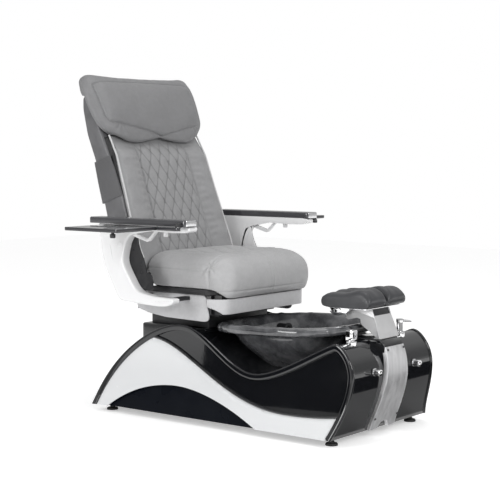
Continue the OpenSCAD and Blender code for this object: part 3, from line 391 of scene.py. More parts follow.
def plate(outline, lo, hi, edge, step, soft, far_edge=None):
    """Rings [m][n] of (a, b, depth) for a plate with rounded edges, from its outline and depths lo to hi."""
    p = soften(even(outline, step, True), soft)
    area = np.sum(p[:, 0] * np.roll(p[:, 1], -1) - np.roll(p[:, 0], -1) * p[:, 1])
    n = normals(p, True) * (1 if area > 0 else -1)
    far, quarter = edge if far_edge is None else far_edge, math.pi / 2
    levels = [(edge * (1 - math.sin(a)), lo + edge * (1 - math.cos(a))) for a in np.linspace(0, quarter, 5)]
    levels += [(far * (1 - math.sin(a)), hi - far * (1 - math.cos(a))) for a in np.linspace(quarter, 0, 5)]
    return np.array([np.column_stack([p + n * i, np.full(len(p), h)]) for i, h in levels])


def region(curves, inside, step):
    """Triangles over the part of a plane where inside(points) holds, cut cleanly along the curves."""
    pts, edges = [], []
    for c in curves:
        k = len(pts)
        pts += [Vector((float(a), float(b))) for a, b in c]
        edges += [(k + i, k + i + 1) for i in range(len(c) - 1)]
    lo, hi = np.vstack(curves).min(0), np.vstack(curves).max(0)
    g = np.stack(np.meshgrid(np.arange(lo[0], hi[0], step), np.arange(lo[1], hi[1], step)), -1)
    g = g.reshape(-1, 2)
    g[:, 0] += (np.round((g[:, 1] - lo[1]) / step) % 2) * step / 2
    near = np.min([away(g, c) for c in curves], axis=0)
    g = g[near > step * 0.45]
    g = g[inside(g)]
    pts += [Vector((float(a), float(b))) for a, b in g]
    v, _, f, *_ = delaunay_2d_cdt(pts, edges, [], 0, 1e-4)
    v = np.array([tuple(p) for p in v])
    f = np.array([t for t in f if len(t) == 3])
    f = f[inside(v[f].mean(axis=1))]
    used = np.unique(f)
    back = np.full(len(v), -1)
    back[used] = np.arange(len(used))
    return v[used], back[f]


def thick(v, f, front, rear):
    """Closed sheet from a plane region: front and rear map [n][2] to [n][3]."""
    n = len(v)
    edges = dict.fromkeys((int(t[i]), int(t[i - 2])) for t in f for i in range(3))
    faces = [tuple(t) for t in f] + [tuple(n + i for i in t[::-1]) for t in f]
    faces += [(b, a, n + a, n + b) for a, b in edges if (b, a) not in edges]
    return np.vstack([front(v), rear(v)]), faces


def both(make):
    """Makes a piece for the sitter's right and left side."""
    for sign, side in ((-1, "right"), (1, "left")):
        make(sign, side)


def dress(node, mat, body, bevel):
    """A merged copy of a CAD node with softened edges."""
    me = frame["nodes"][node].data.copy()
    me.materials.clear()
    bm = bmesh.new()
    bm.from_mesh(me)
    bmesh.ops.remove_doubles(bm, verts=bm.verts, dist=2e-6)
    bmesh.ops.dissolve_limit(bm, angle_limit=math.radians(0.4), verts=bm.verts, edges=bm.edges)
    bm.to_mesh(me)
    bm.free()
    return finish_piece(node.replace("_", " "), me, mat, body, [node], 32, bevel)


# ---------- base
def half_w(z):
    """Half the width of the tub at a height."""
    return 286 + 69 * np.exp(-(np.maximum(z, FOOT_Z) - FOOT_Z) / 115)


profile = np.vstack([
    curve([620, FOOT_Z], [602, 215], [330, 402], [165, 402], 64),
    curve([165, 402], [35, 402], [-85, 238], [-215, 238], 64),
    curve([-215, 238], [-320, 236], [-500, 352], [-590, 386], 64),
    curve([-590, 386], [-625, 398], [-686, 330], [-686, 263], 64),
    curve([-686, 263], [-686, 180], [-648, 105], [-620, FOOT_Z], 64),
    [[-620, FOOT_Z]]])
profile = soften(even(profile, 6), 2, False)
inward = normals(profile, False)
pearl_line = even(np.vstack([
    curve([352, 334], [150, 340], [-40, 90], [-400, 96], 60),
    curve([-400, 96], [-500, 96], [-600, 105], [-672, 120], 20),
    [[-672, 120]]]), 6)
arch_line = even(np.vstack([
    curve([533, FOOT_Z], [440, 110], [300, 146], [180, 146], 40),
    curve([180, 146], [60, 146], [-90, 100], [-262, FOOT_Z], 40),
    [[-262, FOOT_Z]]]), 6)


def inset(t):
    """The tub's side outline, drawn in by t and cut off level at the foot."""
    p = profile + inward * t
    p = p[p[:, 1] >= FOOT_Z - 0.5]
    p[0, 1] = p[-1, 1] = FOOT_Z
    return p


def above(line, q):
    """Whether points lie above a line that runs along y."""
    o = np.argsort(line[:, 0])
    return q[:, 1] > np.interp(q[:, 0], line[o, 0], line[o, 1])


def within(poly, q):
    """Whether points lie inside a closed outline."""
    poly = np.asarray(poly)
    a, b = poly, np.roll(poly, -1, 0)
    hit = np.zeros(len(q), int)
    for (y0, z0), (y1, z1) in zip(a, b):
        if z0 != z1:
            c = (z0 > q[:, 1]) != (z1 > q[:, 1])
            hit += c & (q[:, 0] < (y1 - y0) * (q[:, 1] - z0) / (z1 - z0) + y0)
    return hit % 2 == 1


def on_side(sign, offset):
    """Maps points (y, z) to the side wall, in from its face by an offset or by what a function gives."""
    inner = offset if callable(offset) else lambda v: offset
    return lambda v: np.column_stack([sign * (half_w(v[:, 1]) - inner(v)), v])


wall_line = inset(5)
foot_line = np.array([[700.0, FOOT_Z], [-700, FOOT_Z]])
# The bowl's outside: half width, half length, height over its floor, and share of the rim's tilt.
BOWL_RINGS = np.array([
    [60, 66, 0, 0], [88, 97, 3, 0], [108, 118, 13, 0], [127, 138, 30, 0.1], [148, 161, 50, 0.2],
    [168, 183, 70, 0.3], [188, 204, 90, 0.4], [206, 223, 110, 0.5], [225, 244, 141, 0.8], [233, 253, 159, 1]])


def bowl_k(x, y, z):
    """Below 1 inside the wall of the bowl."""
    a = np.interp(z - BOWL_Z, BOWL_RINGS[:, 2], BOWL_RINGS[:, 0]) - 4
    b = np.interp(z - BOWL_Z, BOWL_RINGS[:, 2], BOWL_RINGS[:, 1]) - 4
    under_rim = z > 380
    a, b = np.where(under_rim, 250, a), np.where(under_rim, 270, b)
    return (np.abs(x / a) ** BOWL_POWER + np.abs((y - BOWL_Y) / b) ** BOWL_POWER) ** (1 / BOWL_POWER)


def base_shell():
    """The moulded tub: bent deck with the bowl's opening, side walls, rear deck and nose pad."""
    w = even(wall_line, 7)
    deck = np.minimum(w[:, 1], DECK_Z)
    cols = np.linspace(-1, 1, 57)
    x = cols[None, :] * (half_w(w[:, 1]) - 14)[:, None]
    y = np.repeat(w[:, :1], len(cols), 1)
    z = np.repeat(deck[:, None], len(cols), 1)
    v = np.stack([x, y, z], -1).reshape(-1, 3)
    f = np.array(weave(len(w), len(cols)))
    rising = w[::-1][np.argsort(w[::-1, 0])]
    deck_at = lambda along: np.minimum(np.interp(along, rising[:, 0], rising[:, 1]), DECK_Z)
    near_bowl = (v[:, 1] > -580) & (v[:, 1] < 60)
    inside = near_bowl & (bowl_k(*v.T) < 1)
    f = f[~inside[f].all(axis=1)]
    for i in np.where(inside)[0]:
        if i in f:
            p = v[i].copy()
            for _ in range(4):
                k = max(float(bowl_k(*p)), 0.05)
                p[0] /= k
                p[1] = BOWL_Y + (p[1] - BOWL_Y) / k
                p[2] = deck_at(p[1])
            v[i] = p
    used = np.unique(f)
    ren = np.full(len(v), -1)
    ren[used] = np.arange(len(used))
    v, f = v[used], ren[f]
    outline = np.vstack([w, arch_line[::-1]])
    v2, f2 = region([w, arch_line, foot_line], lambda q: within(outline, q), 13)
    vs, fs, n = [v], [tuple(t) for t in f], len(v)
    for sign in (-1, 1):
        vs.append(on_side(sign, 14)(v2))
        fs += [tuple(int(i) + n for i in (t if sign > 0 else t[::-1])) for t in f2]
        n += len(v2)
    add("Base shell", np.vstack(vs), fs, "black", "base", "black_gloss", ["base_shell"], 40)
    corners = [(-235, 75), (235, 75), (235, 433), (-235, 433)]
    rows = plate(corners, 300, DECK_Z, edge=6, step=9, soft=2, far_edge=9)
    add("Deck behind the seat", *tube(rows), "black", "base", "black_gloss")
    nose = [[-505, 345], [-505, 386], [-652, 386], [-664, 382], [-675, 372], [-681, 358], [-683, 340],
            [-682, 310], [-660, 290]]
    rows = sideways(plate(nose, -68, 68, edge=4, step=4, soft=2), 1)
    add("Bracket pad", *tube(rows), "black", "base", "black_gloss")


def rim(sign, side):
    """Black band of rounded section along the whole edge of a cheek."""
    a = np.linspace(0, 2 * np.pi, 26, endpoint=False)
    u = 13 + 13 * np.sign(np.cos(a)) * np.abs(np.cos(a)) ** 0.55
    t = 8 + 8 * np.sign(np.sin(a)) * np.abs(np.sin(a)) ** 0.6
    rows = []
    for p, n in zip(profile, inward):
        q = p + np.outer(u, n)
        q[:, 1] = np.maximum(q[:, 1], FOOT_Z)
        rows.append(np.column_stack([sign * (half_w(q[:, 1]) - t), q]))
    add(f"Rim band {side}", *tube(rows), "rim", "base", "black_gloss", [f"side_rim_{side}"], 60)


def swept(path, radius):
    """Rings of a round bead along a 3-D path."""
    t = np.gradient(path, axis=0)
    t /= np.linalg.norm(t, axis=1)[:, None]
    a = np.cross(t, [0.0, 0.0, 1.0])
    a /= np.linalg.norm(a, axis=1)[:, None]
    b = np.cross(t, a)
    th = np.linspace(0, 2 * np.pi, 12, endpoint=False)
    return np.array([[p + radius * (math.cos(k) * q + math.sin(k) * r) for k in th]
                     for p, q, r in zip(path, a, b)])


def cheek_roll(sign, side):
    """Black bead moulded along the upper edge of the pearl panel."""
    up = normals(pearl_line, False)
    line = pearl_line + up * np.sign(up[:, 1:]) * 5
    line = line[within(inset(20), line)]
    line = soften(even(line, 8), 4, False)
    path = np.column_stack([sign * (half_w(line[:, 1]) - 10), line])
    add(f"Cheek roll {side}", *tube(swept(path, 6.5)), "rim", "base", "black_gloss", (), 60)


def pearl(sign, side):
    """Pearl panel between its upper line and the toe kick's arch."""
    r = inset(25)
    inside = lambda q: within(r, q) & ~above(pearl_line, q) & ~within(arch_line, q)
    v, f = region([r, pearl_line, arch_line, foot_line], inside, 12)
    soft = lambda q: 8 + 5 * np.clip(1 - away(q, pearl_line) / 5, 0, 1) ** 2
    add(f"Pearl panel {side}", *thick(v, f, on_side(sign, soft), on_side(sign, 14)), "pearl", "base",
        "pearl_gloss", [f"side_panel_{side}"], 40)


def toe(sign, side):
    """Recessed black panel in the arch at the foot."""
    big = arch_line + normals(arch_line, False) * -6
    big[0, 1] = big[-1, 1] = FOOT_Z
    v, f = region([big, foot_line], lambda q: within(big, q), 14)
    add(f"Toe kick {side}", *thick(v, f, on_side(sign, 22), on_side(sign, 26)), "toe", "base", "toe_black",
        [f"toe_kick_{side}"], 40)


def front_cover():
    """Bent steel sheet over the nose, narrower upwards, with a round notch at its foot."""
    line = [[-630, FOOT_Z], [-643, 64], [-663, 110], [-685, 170], [-698, 220], [-702, 250], [-701, 290],
            [-696, 325], [-686, 357]]
    line = soften(even(line, 6), 6, False)
    cols = np.concatenate([[-1, -0.985, -0.96], np.linspace(-0.9, 0.9, 31), [0.96, 0.985, 1]])
    drop = np.concatenate([[3.2, 1.0, 0.2], np.zeros(31), [0.2, 1.0, 3.2]])
    half = np.interp(line[:, 1], [FOOT_Z, 250, 357], [92, 76, 66])
    front = np.array([[[c * h, y + 0.6 + d, z] for c, d in zip(cols, drop)] for (y, z), h in zip(line, half)])
    notch_r = 42
    notch = 16 + np.sqrt(np.maximum(0, notch_r ** 2 - front[:, :, 0] ** 2))
    lift = np.maximum(front[:, :, 2], np.where(np.abs(front[:, :, 0]) < notch_r, notch, FOOT_Z))
    front[:, :, 1] = np.interp(lift, line[:, 1], line[:, 0]) + 0.6 + drop[None, :]
    front[:, :, 2] = lift
    rear = front.copy()
    rear[:, :, 1] += 16
    m, k = front.shape[:2]
    v = np.vstack([front.reshape(-1, 3), rear.reshape(-1, 3)])
    f = weave(m, k) + [q[::-1] for q in weave(m, k, start=m * k)]
    loop = list(range(k)) + [i * k + k - 1 for i in range(1, m)]
    loop += [(m - 1) * k + j for j in range(k - 2, -1, -1)] + [i * k for i in range(m - 2, 0, -1)]
    f += [(a, b, b + m * k, a + m * k) for a, b in zip(loop, loop[1:] + loop[:1])]
    add("Front cover", v, f, "steel_v", "base", "stainless", ["front_panel"], 30)


def near_knots():
    """Angles of the knots in the rim on the right side and at the front of the bowl."""
    p = np.array([[-292, -60], [-292, -150], [-292, -235], [-292, -330], [-286, -420],
                  [-230, -535], [-120, -553], [60, -553], [190, -546]], float)
    x, y = p[:, 0], p[:, 1] - BOWL_Y
    power = BOWL_POWER / 2
    up, across = np.sign(y) * np.abs(y / 316) ** power, np.sign(x) * np.abs(x / 292) ** power
    return np.arctan2(up, across) % (2 * np.pi)


def bowl():
    """The foot bowl, with a thick rim that bulges and dips like stone."""
    t = np.linspace(0, 2 * np.pi, 168, endpoint=False)
    cos, sin = (np.sign(k) * np.abs(k) ** (2 / BOWL_POWER) for k in (np.cos(t), np.sin(t)))
    # Half width, half length, height, share of the rim's tilt, share of the rim's lumps.
    outer = [(a, b, z + BOWL_Z, tilt, 0) for a, b, z, tilt in BOWL_RINGS]
    edge = [(251, 272, 386, 1, 0.3), (278, 301, 386, 1, 0.8), (288, 312, 391, 1, 1), (292, 316, 400, 1, 1),
            (292, 316, 411, 1, 1), (286, 310, 420, 1, 1), (272, 295, 424, 1, 1), (256, 279, 422, 1, 1),
            (244, 266, 413, 1, 0.6), (235, 256, 400, 1, 0.2)]
    inner = []
    for i in range(9, -1, -1):
        wall, floor_up = (5 if i < 3 else 8.1), (9 if i < 3 else 6.75 if i < 8 else 3)
        a, b, z, tilt = BOWL_RINGS[i]
        inner.append((a - wall, b - wall, z + BOWL_Z + floor_up, tilt, 0))
    spec = np.array(outer + edge + inner, float)
    s = np.linspace(0, len(spec) - 1, 116)
    spec = np.column_stack([np.interp(s, np.arange(len(spec)), spec[:, k]) for k in range(5)])
    for _ in range(2):
        spec[1:-1] = (spec[:-2] + 2 * spec[1:-1] + spec[2:]) / 4
    knots = np.sort(np.concatenate([rng.uniform(0.3, np.pi - 0.2, 9), near_knots()]))
    rings = []
    for a, b, z, tilt, lump in spec:
        p = np.column_stack([a * cos, b * sin])
        zz = z - 0.035 * tilt * p[:, 1]
        if lump > 0:
            k = np.zeros(len(t))
            for q in knots:
                gap = np.abs((t - q + np.pi) % (2 * np.pi) - np.pi)
                k += 3.2 * np.exp(-(gap / 0.045) ** 2)
            wob = np.array([noise.noise((c[0] * 0.02, c[1] * 0.02, z * 0.03)) for c in p]) * 3.2
            grow = 1 + (np.minimum(k, 4) + wob - 3.5) * lump / 300
            p = p * grow[:, None]
            zz = zz + (k * 0.6 + wob * 0.7 - 1) * lump * (1 if z > 400 else 0.3)
        rings.append(np.column_stack([p[:, 0], p[:, 1] + BOWL_Y, zz]))
    add("Foot bowl", *tube(rings), "bowl", "base", "bowl_gloss", ["bowl"], 60)


base_shell()
both(rim)
both(cheek_roll)
both(pearl)
both(toe)
front_cover()
bowl()
for node, body in (("base_frame", "base"), ("seat_frame", "seat"), ("back_frame", "back"),
                   ("slide_rails", "base"), ("recline_actuator", "seat"),
                   ("massage_carriage", "massage_carriage")):
    dress(node, "iron", body, 0.6)
for node, mat, body, slot, bevel in (
        ("front_panel_screws", "screw", "base", "screw_steel", 0.5),
        ("seat_pedestal", "plastic", "base", "black_plastic", 2),
        ("drain_body", "chrome", "base", "chrome", 0),
        ("drain_stopper", "chrome", "drain_stopper", "chrome", 0.6),
        ("jet_pump", "plastic", "base", "black_plastic", 0.8),
        ("jet_cover", "plastic", "base", "black_plastic", 0.4),
        ("jet_impeller", "plastic", "jet_impeller", "black_plastic", 0),
        ("mixer_body", "chrome", "base", "chrome", 0.8),
        ("mixer_lever", "chrome", "mixer_lever", "chrome", 0.8),
        ("diverter_body", "chrome", "base", "chrome", 0.8),
        ("diverter_knob", "chrome", "diverter_knob", "chrome", 1.2),
        ("front_valves", "chrome", "base", "brass", 0.6),
        ("front_knob_right", "chrome", "front_knob_right", "chrome", 2.5),
        ("front_knob_left", "chrome", "front_knob_left", "chrome", 2.5),
        ("supply_tails", "brass", "base", "brass", 0.5),
        ("footrest_bracket", "steel_h", "base", "stainless", 0.9),
        ("footrest_slider", "plastic", "footrest_slider", "black_plastic", 0.8),
        ("pad_bracket", "chrome", "foot_pads", "chrome", 0.8),
        ("recline_rod", "chrome", "recline_rod", "chrome", 0.4),
        ("massage_rollers", "chrome", "massage_rollers", "chrome", 1),
        ("seat_pan", "plastic", "seat", "black_plastic", 2),
        ("front_skirt", "skirt", "seat", "skirt_grey", 1.5),
        ("board_clamp_right", "white", "board_clamp_right", "black_plastic", 2),
        ("board_clamp_left", "white", "board_clamp_left", "black_plastic", 2),
        ("back_sleeve", "sleeve", "back", "sleeve_grey", 1.5)):
    dress(node, mat, body, bevel)
for corner, body in (("front_right", "foot_fr"), ("front_left", "foot_fl"),
                     ("rear_right", "foot_rr"), ("rear_left", "foot_rl")):
    dress("levelling_foot_" + corner, "rubber", body, 1.5)


# ---------- arms, boards and trays
# The arm's side outline: down the rear post, out along the lower limb and back, then the top rail.
ARM_OUTLINE = [[505, 812], [492, 766], [485, 699], [469, 642], [444, 597], [419, 552], [397, 514], [386, 502],
       [370, 497], [251, 489], [170, 486], [126, 489], [98, 500], [87, 514], [91, 521], [104, 523],
       [153, 524], [198, 526], [243, 532], [272, 539], [289, 546], [307, 564], [330, 598], [351, 630],
       [362, 652], [365, 671], [361, 697], [350, 733], [337, 756], [318, 771], [262, 782], [209, 790],
       [100, 786], [30, 788], [6, 794], [0, 803], [4, 812], [30, 815], [480, 815]]


def arm(sign, side):
    """One white arm with its inner face, plate, caps and brace, and the board over it."""
    rows = sideways(plate(ARM_OUTLINE, 383, 425, edge=1.5, step=6, soft=3, far_edge=7), sign)
    add(f"Arm {side}", *tube(rows), "white", "seat", "white_gloss", [f"arm_{side}"], 40)
    whole = [[478, 672], *ARM_OUTLINE[2::-1], *ARM_OUTLINE[:24:-1]]
    edge = [[375, 672], [370, 700], [350, 760], [316, 768], [315, 750], [312, 735], [301, 704], [286, 676],
            [285, 672]]
    corner = [[290, 625], [266, 617], [240, 606], [234, 578], [234, 548], [262, 541], [292, 549]]
    for name, outline, lo, hi, mat, slot in (
            ("Arm inner face", whole, 375, 385, "white", "white_gloss"),
            ("Arm plate cover", edge, 375, 377.8, "white", "white_gloss"),
            ("Arm plate corner", corner, 379, 382.6, "iron", "black_steel")):
        rows = sideways(plate(outline, lo, hi, edge=1, step=6, soft=2), sign)
        add(f"{name} {side}", *tube(rows), mat, "seat", slot, (), 40)
    turn = np.linspace(0, 2 * np.pi, 40, endpoint=False)
    rows = [[(sign * x, 380 + r * math.cos(t), 728 + r * math.sin(t)) for t in turn]
            for x, r in ((423, 13), (426, 13), (427, 11))]
    add(f"Arm cap {side} 13", *tube(rows), "white", "seat", "white_gloss")
    slant = soften(even([[418, 666], [424, 664], [440, 726], [434, 728]], 3, True), 3)
    rows = [[(sign * x, *q) for q in slant] for x in (423, 426.5)]
    add(f"Arm cap {side} 0", *tube(rows), "white", "seat", "white_gloss")
    brace = [[332, 779], [328, 767], [244, 744], [233, 747], [190, 790], [200, 792], [240, 757], [304, 776]]
    rows = sideways(plate(brace, 392, 408, edge=2, step=4, soft=1), sign)
    add(f"Board brace {side}", *tube(rows), "white", "seat", "white_gloss", [f"arm_strut_{side}"], 40)
    board = [[377, 524], [377, 14], [379, 4], [387, -2], [442, -2], [450, 4], [452, 14], [452, 524]]
    rows = plate(board, 815, 841, edge=3, step=5, soft=1, far_edge=6)
    front_end = lambda centre, normal: (centre[:, 1] < 6) & (normal[:, 1] < -0.7)
    add(f"Arm board {side}", *tube(rows * [sign, 1, 1]), "board", "seat", "board_grey",
        [f"arm_board_{side}"], 40, mats=["board", "chrome"], tag=front_end)
    knuckle = [[448, 17], [464, 17], [472, 20], [475, 28], [472, 36], [464, 39], [448, 39]]
    rows = plate(knuckle, 813.6, 831, edge=1, step=3, soft=1, far_edge=2)
    add(f"Board knuckle {side}", *tube(rows * [sign, 1, 1]), "plastic", "seat", "board_grey")


def tray(sign, side):
    """One glass tray in its frame, with its bar, knob and pivot pin."""
    body = f"tray_{side}"
    rows = plate([[456, 135], [701, 135], [701, 420], [456, 420]], 799, 813, edge=2.5, step=6, soft=1)
    add(f"Tray {side}", *tube(rows * [sign, 1, 1]), "frame", body, "tray_dark", [body], 40)
    pane = [[467, 146], [690, 146], [690, 409], [467, 409]]
    rows = plate(pane, 812, 813.4, edge=0.3, step=6, soft=1, far_edge=0.6)
    add(f"Tray glass {side}", *tube(rows * [sign, 1, 1]), "glass", body, "tray_dark")
    bar = [[456, 20], [464, 17], [472, 20], [475, 28], [474, 137], [456, 137]]
    rows = plate(bar, 799, 812.5, edge=2, step=4, soft=1)
    add(f"Tray bar {side}", *tube(rows * [sign, 1, 1]), "frame", body, "tray_dark", (), 40)
    knob = [(5, 800), (7, 793.5), (10, 793), (11, 791), (11, 780), (9.5, 777.4), (4, 777)]
    for name, x, y, section, mat in (("Tray knob", 679, 175, knob, "plastic"),
                                     ("Tray pin", 464, 28, ((6, 812), (6, 826)), "chrome")):
        turn = np.linspace(0, 2 * np.pi, 36, endpoint=False)
        rows = [[(sign * (x + r * math.cos(t)), y + r * math.sin(t), z) for t in turn] for r, z in section]
        add(f"{name} {side}", *tube(rows), mat, body, "tray_dark", (), 45)


both(arm)
both(tray)


def side_skirt(sign, side):
    """Covered panel beside the seat, under its cushion."""
    outline = [[37, 529], [17, 440], [22, 426], [36, 421], [60, 421], [250, 425], [345, 436], [405, 452],
               [412, 470], [412, 529]]
    rows = sideways(plate(outline, 280, 288, edge=3, step=8, soft=2), sign)
    add(f"Side skirt {side}", *tube(rows), "skirt", "seat", "skirt_grey", [f"side_skirt_{side}"], 40)


both(side_skirt)


# ---------- back shell
def on_back(x, d, s):
    """Points of the leaning back: x across, d forwards of its pivot plane, s up along it."""
    x, d, s = (np.asarray(k, float) for k in (x, d, s))
    y = PIVOT_Y + s * math.sin(LEAN) - d * math.cos(LEAN)
    return np.stack([x, y, PIVOT_Z + s * math.cos(LEAN) + d * math.sin(LEAN)], -1)


def to_back(v):
    """The x, d and s of points."""
    y, z = v[:, 1] - PIVOT_Y, v[:, 2] - PIVOT_Z
    return v[:, 0], -y * math.cos(LEAN) + z * math.sin(LEAN), y * math.sin(LEAN) + z * math.cos(LEAN)


def back_shell():
    front = [[44, 45], [44, 275], [47, 373], [40, 500], [30, 562], [15, 696], [12, 780], [2, 838]]
    rear = [[-32, 842], [-50, 790], [-62, 680], [-54, 557], [-62, 412], [-70, 311], [-66, 180], [-40, 45]]
    rows = plate(front + rear, -304, 304, edge=9, step=8, soft=3)
    rows = on_back(rows[:, :, 2], rows[:, :, 0], rows[:, :, 1])
    add("Back shell", *tube(rows), "shell", "back", "shell_grey", ["back_shell"], 40)


back_shell()


# ---------- cushions
def read(me, what="co"):
    """The vertices' places or normals as [n][3]."""
    values = np.empty(len(me.vertices) * 3)
    me.vertices.foreach_get(what, values)
    return values.reshape(-1, 3)


def puff(o, hold, cap):
    """Inflates a padded piece with the cloth solver, holding its seams, and applies what moves up to cap."""
    frames = 20
    rest = read(o.data)
    g = o.vertex_groups.new(name="Seams")
    for k in np.where(hold > 0.02)[0]:
        g.add([int(k)], float(hold[k]), "REPLACE")
    c = o.modifiers.new("Cloth", "CLOTH")
    s = c.settings
    s.quality, s.mass, s.air_damping = 5, 0.3, 2.0
    s.tension_stiffness = s.compression_stiffness = 14
    s.shear_stiffness, s.bending_stiffness = 6, 0.4
    s.use_pressure, s.uniform_pressure_force = True, 4.0
    s.vertex_group_mass = "Seams"
    s.pin_stiffness = 1
    s.effector_weights.gravity = 0
    c.collision_settings.use_collision = c.collision_settings.use_self_collision = False
    c.point_cache.frame_start, c.point_cache.frame_end = 1, frames
    scene = bpy.context.scene
    for k in range(1, frames + 1):
        scene.frame_set(k)
    me = baked(o)
    scene.frame_set(1)
    move = read(me) - rest
    size = np.linalg.norm(move, axis=1)
    move *= (np.minimum(size, cap * 0.001) / np.maximum(size, 1e-9))[:, None]
    me.vertices.foreach_set("co", (rest + move).ravel())
    me.update()
    return me


def cushion(node, name, mat, body, voxel, smooth, hold, detail, cap):
    """A padded piece from its node: evened out, inflated, and sculpted by detail along its normals."""
    me = frame["nodes"][node].data.copy()
    me.materials.clear()
    bm = bmesh.new()
    bm.from_mesh(me)
    bmesh.ops.remove_doubles(bm, verts=bm.verts, dist=2e-6)
    bm.to_mesh(me)
    bm.free()
    o = bpy.data.objects.new(name.replace(" ", "_"), me)
    bpy.context.scene.collection.objects.link(o)
    r = o.modifiers.new("Even", "REMESH")
    r.mode, r.voxel_size = "VOXEL", voxel * 0.001
    s = o.modifiers.new("Calm", "SMOOTH")
    s.factor, s.iterations = 0.5, smooth
    me = baked(o)
    puff(o, hold(read(me) * 1000), cap)
    o.vertex_groups.clear()
    sub = o.modifiers.new("Fine", "SUBSURF")
    sub.levels = sub.render_levels = 1
    me = baked(o)
    co = read(me)
    co = co + read(me, "normal") * (detail(co * 1000) * 0.001)[:, None]
    me.vertices.foreach_set("co", co.ravel())
    me.update()
    me.materials.append(LOOKS[mat])
    me.polygons.foreach_set("use_smooth", [True] * len(me.polygons))
    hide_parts(node)
    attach(o, body)
    return o


def groove(d, depth, width):
    """Depth of a seam's groove at a distance from it."""
    return -depth * np.exp(-(d / width) ** 2)


def soft_noise(v, scale):
    """Smooth noise between -1 and 1 at points in millimetres."""
    return np.array([noise.noise((p[0] * scale, p[1] * scale, p[2] * scale)) for p in v])


def diamonds(a, b, wide, tall):
    """0 on the lines of a diamond quilt, 1 in the middle of a diamond."""
    p, q = a / wide + b / tall, a / wide - b / tall
    return np.abs(np.sin(np.pi * p) * np.sin(np.pi * q))


# seat
def seat_zones(v):
    """Distances from the seat cushion's seams, and whether points lie on its quilt."""
    x, y, z = v.T
    top = z > 640
    side = np.abs(x) > 278
    lines = {
        "roll": np.where(z > 560, np.abs(y - 8), 99),
        "piping": np.where(side & (y > 8), np.abs(z - 628), 99),
        "centre": np.where(y < 8, np.abs(x), 99),
        "under": np.where(y < -30, np.abs(z - 548), 99),
    }
    quilt = (np.abs(x) < 196) & (y > 44) & top
    return lines, quilt


def seat_hold(v):
    lines, quilt = seat_zones(v)
    d = np.min(list(lines.values()), axis=0)
    h = np.clip(1.4 - d / 5, 0, 1)
    q = diamonds(v[:, 0], v[:, 1], *SEAT_DIAMOND)
    h = np.where(quilt, np.maximum(h, np.clip(1 - q / 0.2, 0, 1)), h)
    return np.where((v[:, 2] < 560) | (v[:, 1] > 318), 1.0, h)


def seat_detail(v):
    lines, quilt = seat_zones(v)
    x, y, z = v.T
    g = groove(lines["roll"], 3.4, 4.5) + groove(lines["piping"], 2.0, 3) + groove(lines["centre"], 2.4, 3.5)
    g += 1.6 * np.exp(-((lines["centre"] - 8) / 3.5) ** 2) + groove(lines["under"], 2, 4)
    q = diamonds(x, y, *SEAT_DIAMOND)
    g += np.where(quilt, 2.6 * np.sqrt(q) - 2.2 * np.exp(-(q / 0.05) ** 2), 0)
    gather_x, gather_y, gather_z = 296, 6, 650
    for s in (-1, 1):
        d = np.sqrt((x - s * gather_x) ** 2 + (y - gather_y) ** 2 + (z - gather_z) ** 2)
        a = np.arctan2(z - gather_z, y - gather_y)
        g += 2.4 * np.exp(-(d / 48) ** 2) * np.sin(a * 7 + d * 0.06) * np.clip(d / 14, 0, 1)
    return g + np.where(z > 556, 1.1 * soft_noise(v, 0.012) + 0.5 * soft_noise(v, 0.03), 0)


cushion("seat_cushion", "Seat cushion", "seat", "seat", 6, 14, seat_hold, seat_detail,
        cap=12)


# back
def back_w(s):
    """Half the width of the back cushion's face."""
    return np.interp(s, [0, 150, 263, 387, 497, 600, 645], [314, 313, 306, 298, 294, 290, 289])


def insert_w(s):
    """Half the width of the quilted insert."""
    return 160 + (600 - s) * 0.016


def back_lines(v):
    """The x, d and s of points, their distances from the seams, and their place in the quilt."""
    x, d, s = to_back(v)
    seam = np.abs(np.abs(x) - insert_w(s))
    edge = np.abs(np.abs(x) - (back_w(s) - 10))
    return x, d, s, seam, edge, diamonds(x - QUILT_X, s - QUILT_S, *BACK_DIAMOND)


def back_hold(v):
    x, d, s, seam, edge, q = back_lines(v)
    front = d > 50
    insert = front & (np.abs(x) < insert_w(s))
    h = np.where(front, np.clip(1.4 - np.minimum(seam, edge) / 5, 0, 1), 1.0)
    return np.where(insert, np.maximum(h, np.clip(1 - q / 0.22, 0, 1)), h)


def back_detail(v):
    x, d, s, seam, edge, q = back_lines(v)
    front = np.clip((d - 50) / 8, 0, 1)
    inside = np.clip((insert_w(s) - np.abs(x)) / 6, 0, 1)
    tuft = np.exp(-(q / 0.04) ** 2)
    g = groove(seam, 4.5, 4.5) + groove(edge, 2.2, 4) + 1.4 * np.exp(-((seam - 9) / 4) ** 2)
    g = g + inside * (2.8 * np.sqrt(q) - 2.0 * tuft)
    wave = np.sin((s + 14 * soft_noise(v, 0.012)) * 2 * np.pi / 33)
    beside = np.exp(-((seam - 26) / 30) ** 2) * (np.abs(x) > 150)
    g = g + (1 - inside) * 1.5 * wave * beside * np.clip((s - 120) / 60, 0, 1)
    return front * (g + 1.0 * soft_noise(v, 0.014) + 0.5 * soft_noise(v, 0.035))


cushion("back_cushion", "Back cushion", "back", "back", 6, 10, back_hold, back_detail,
        cap=9)


def piping(sign, side):
    """Bead sewn in along the back cushion's front edge."""
    s = np.linspace(60, 640, 90)
    d = 64 - np.maximum(0, (s - 540) / 82) * 14
    path = on_back(sign * (back_w(s) - 1), d, s)
    add(f"Back piping {side}", *tube(swept(path, 4.0)), "piping", "back", "grey_leather", (), 60)


both(piping)


# head pillow, with a raised panel on its face and a fold below that
PILLOW_PANEL = np.array([[-318, 866], [-304, 720], [-290, 694], [11, 624], [275, 681], [296, 720], [306, 866],
                  [260, 878], [0, 880], [-270, 878]], float)
PILLOW_FOLD = [[-352, 690], [-304, 647], [-186, 600], [-20, 606], [150, 600], [290, 655], [352, 690]]


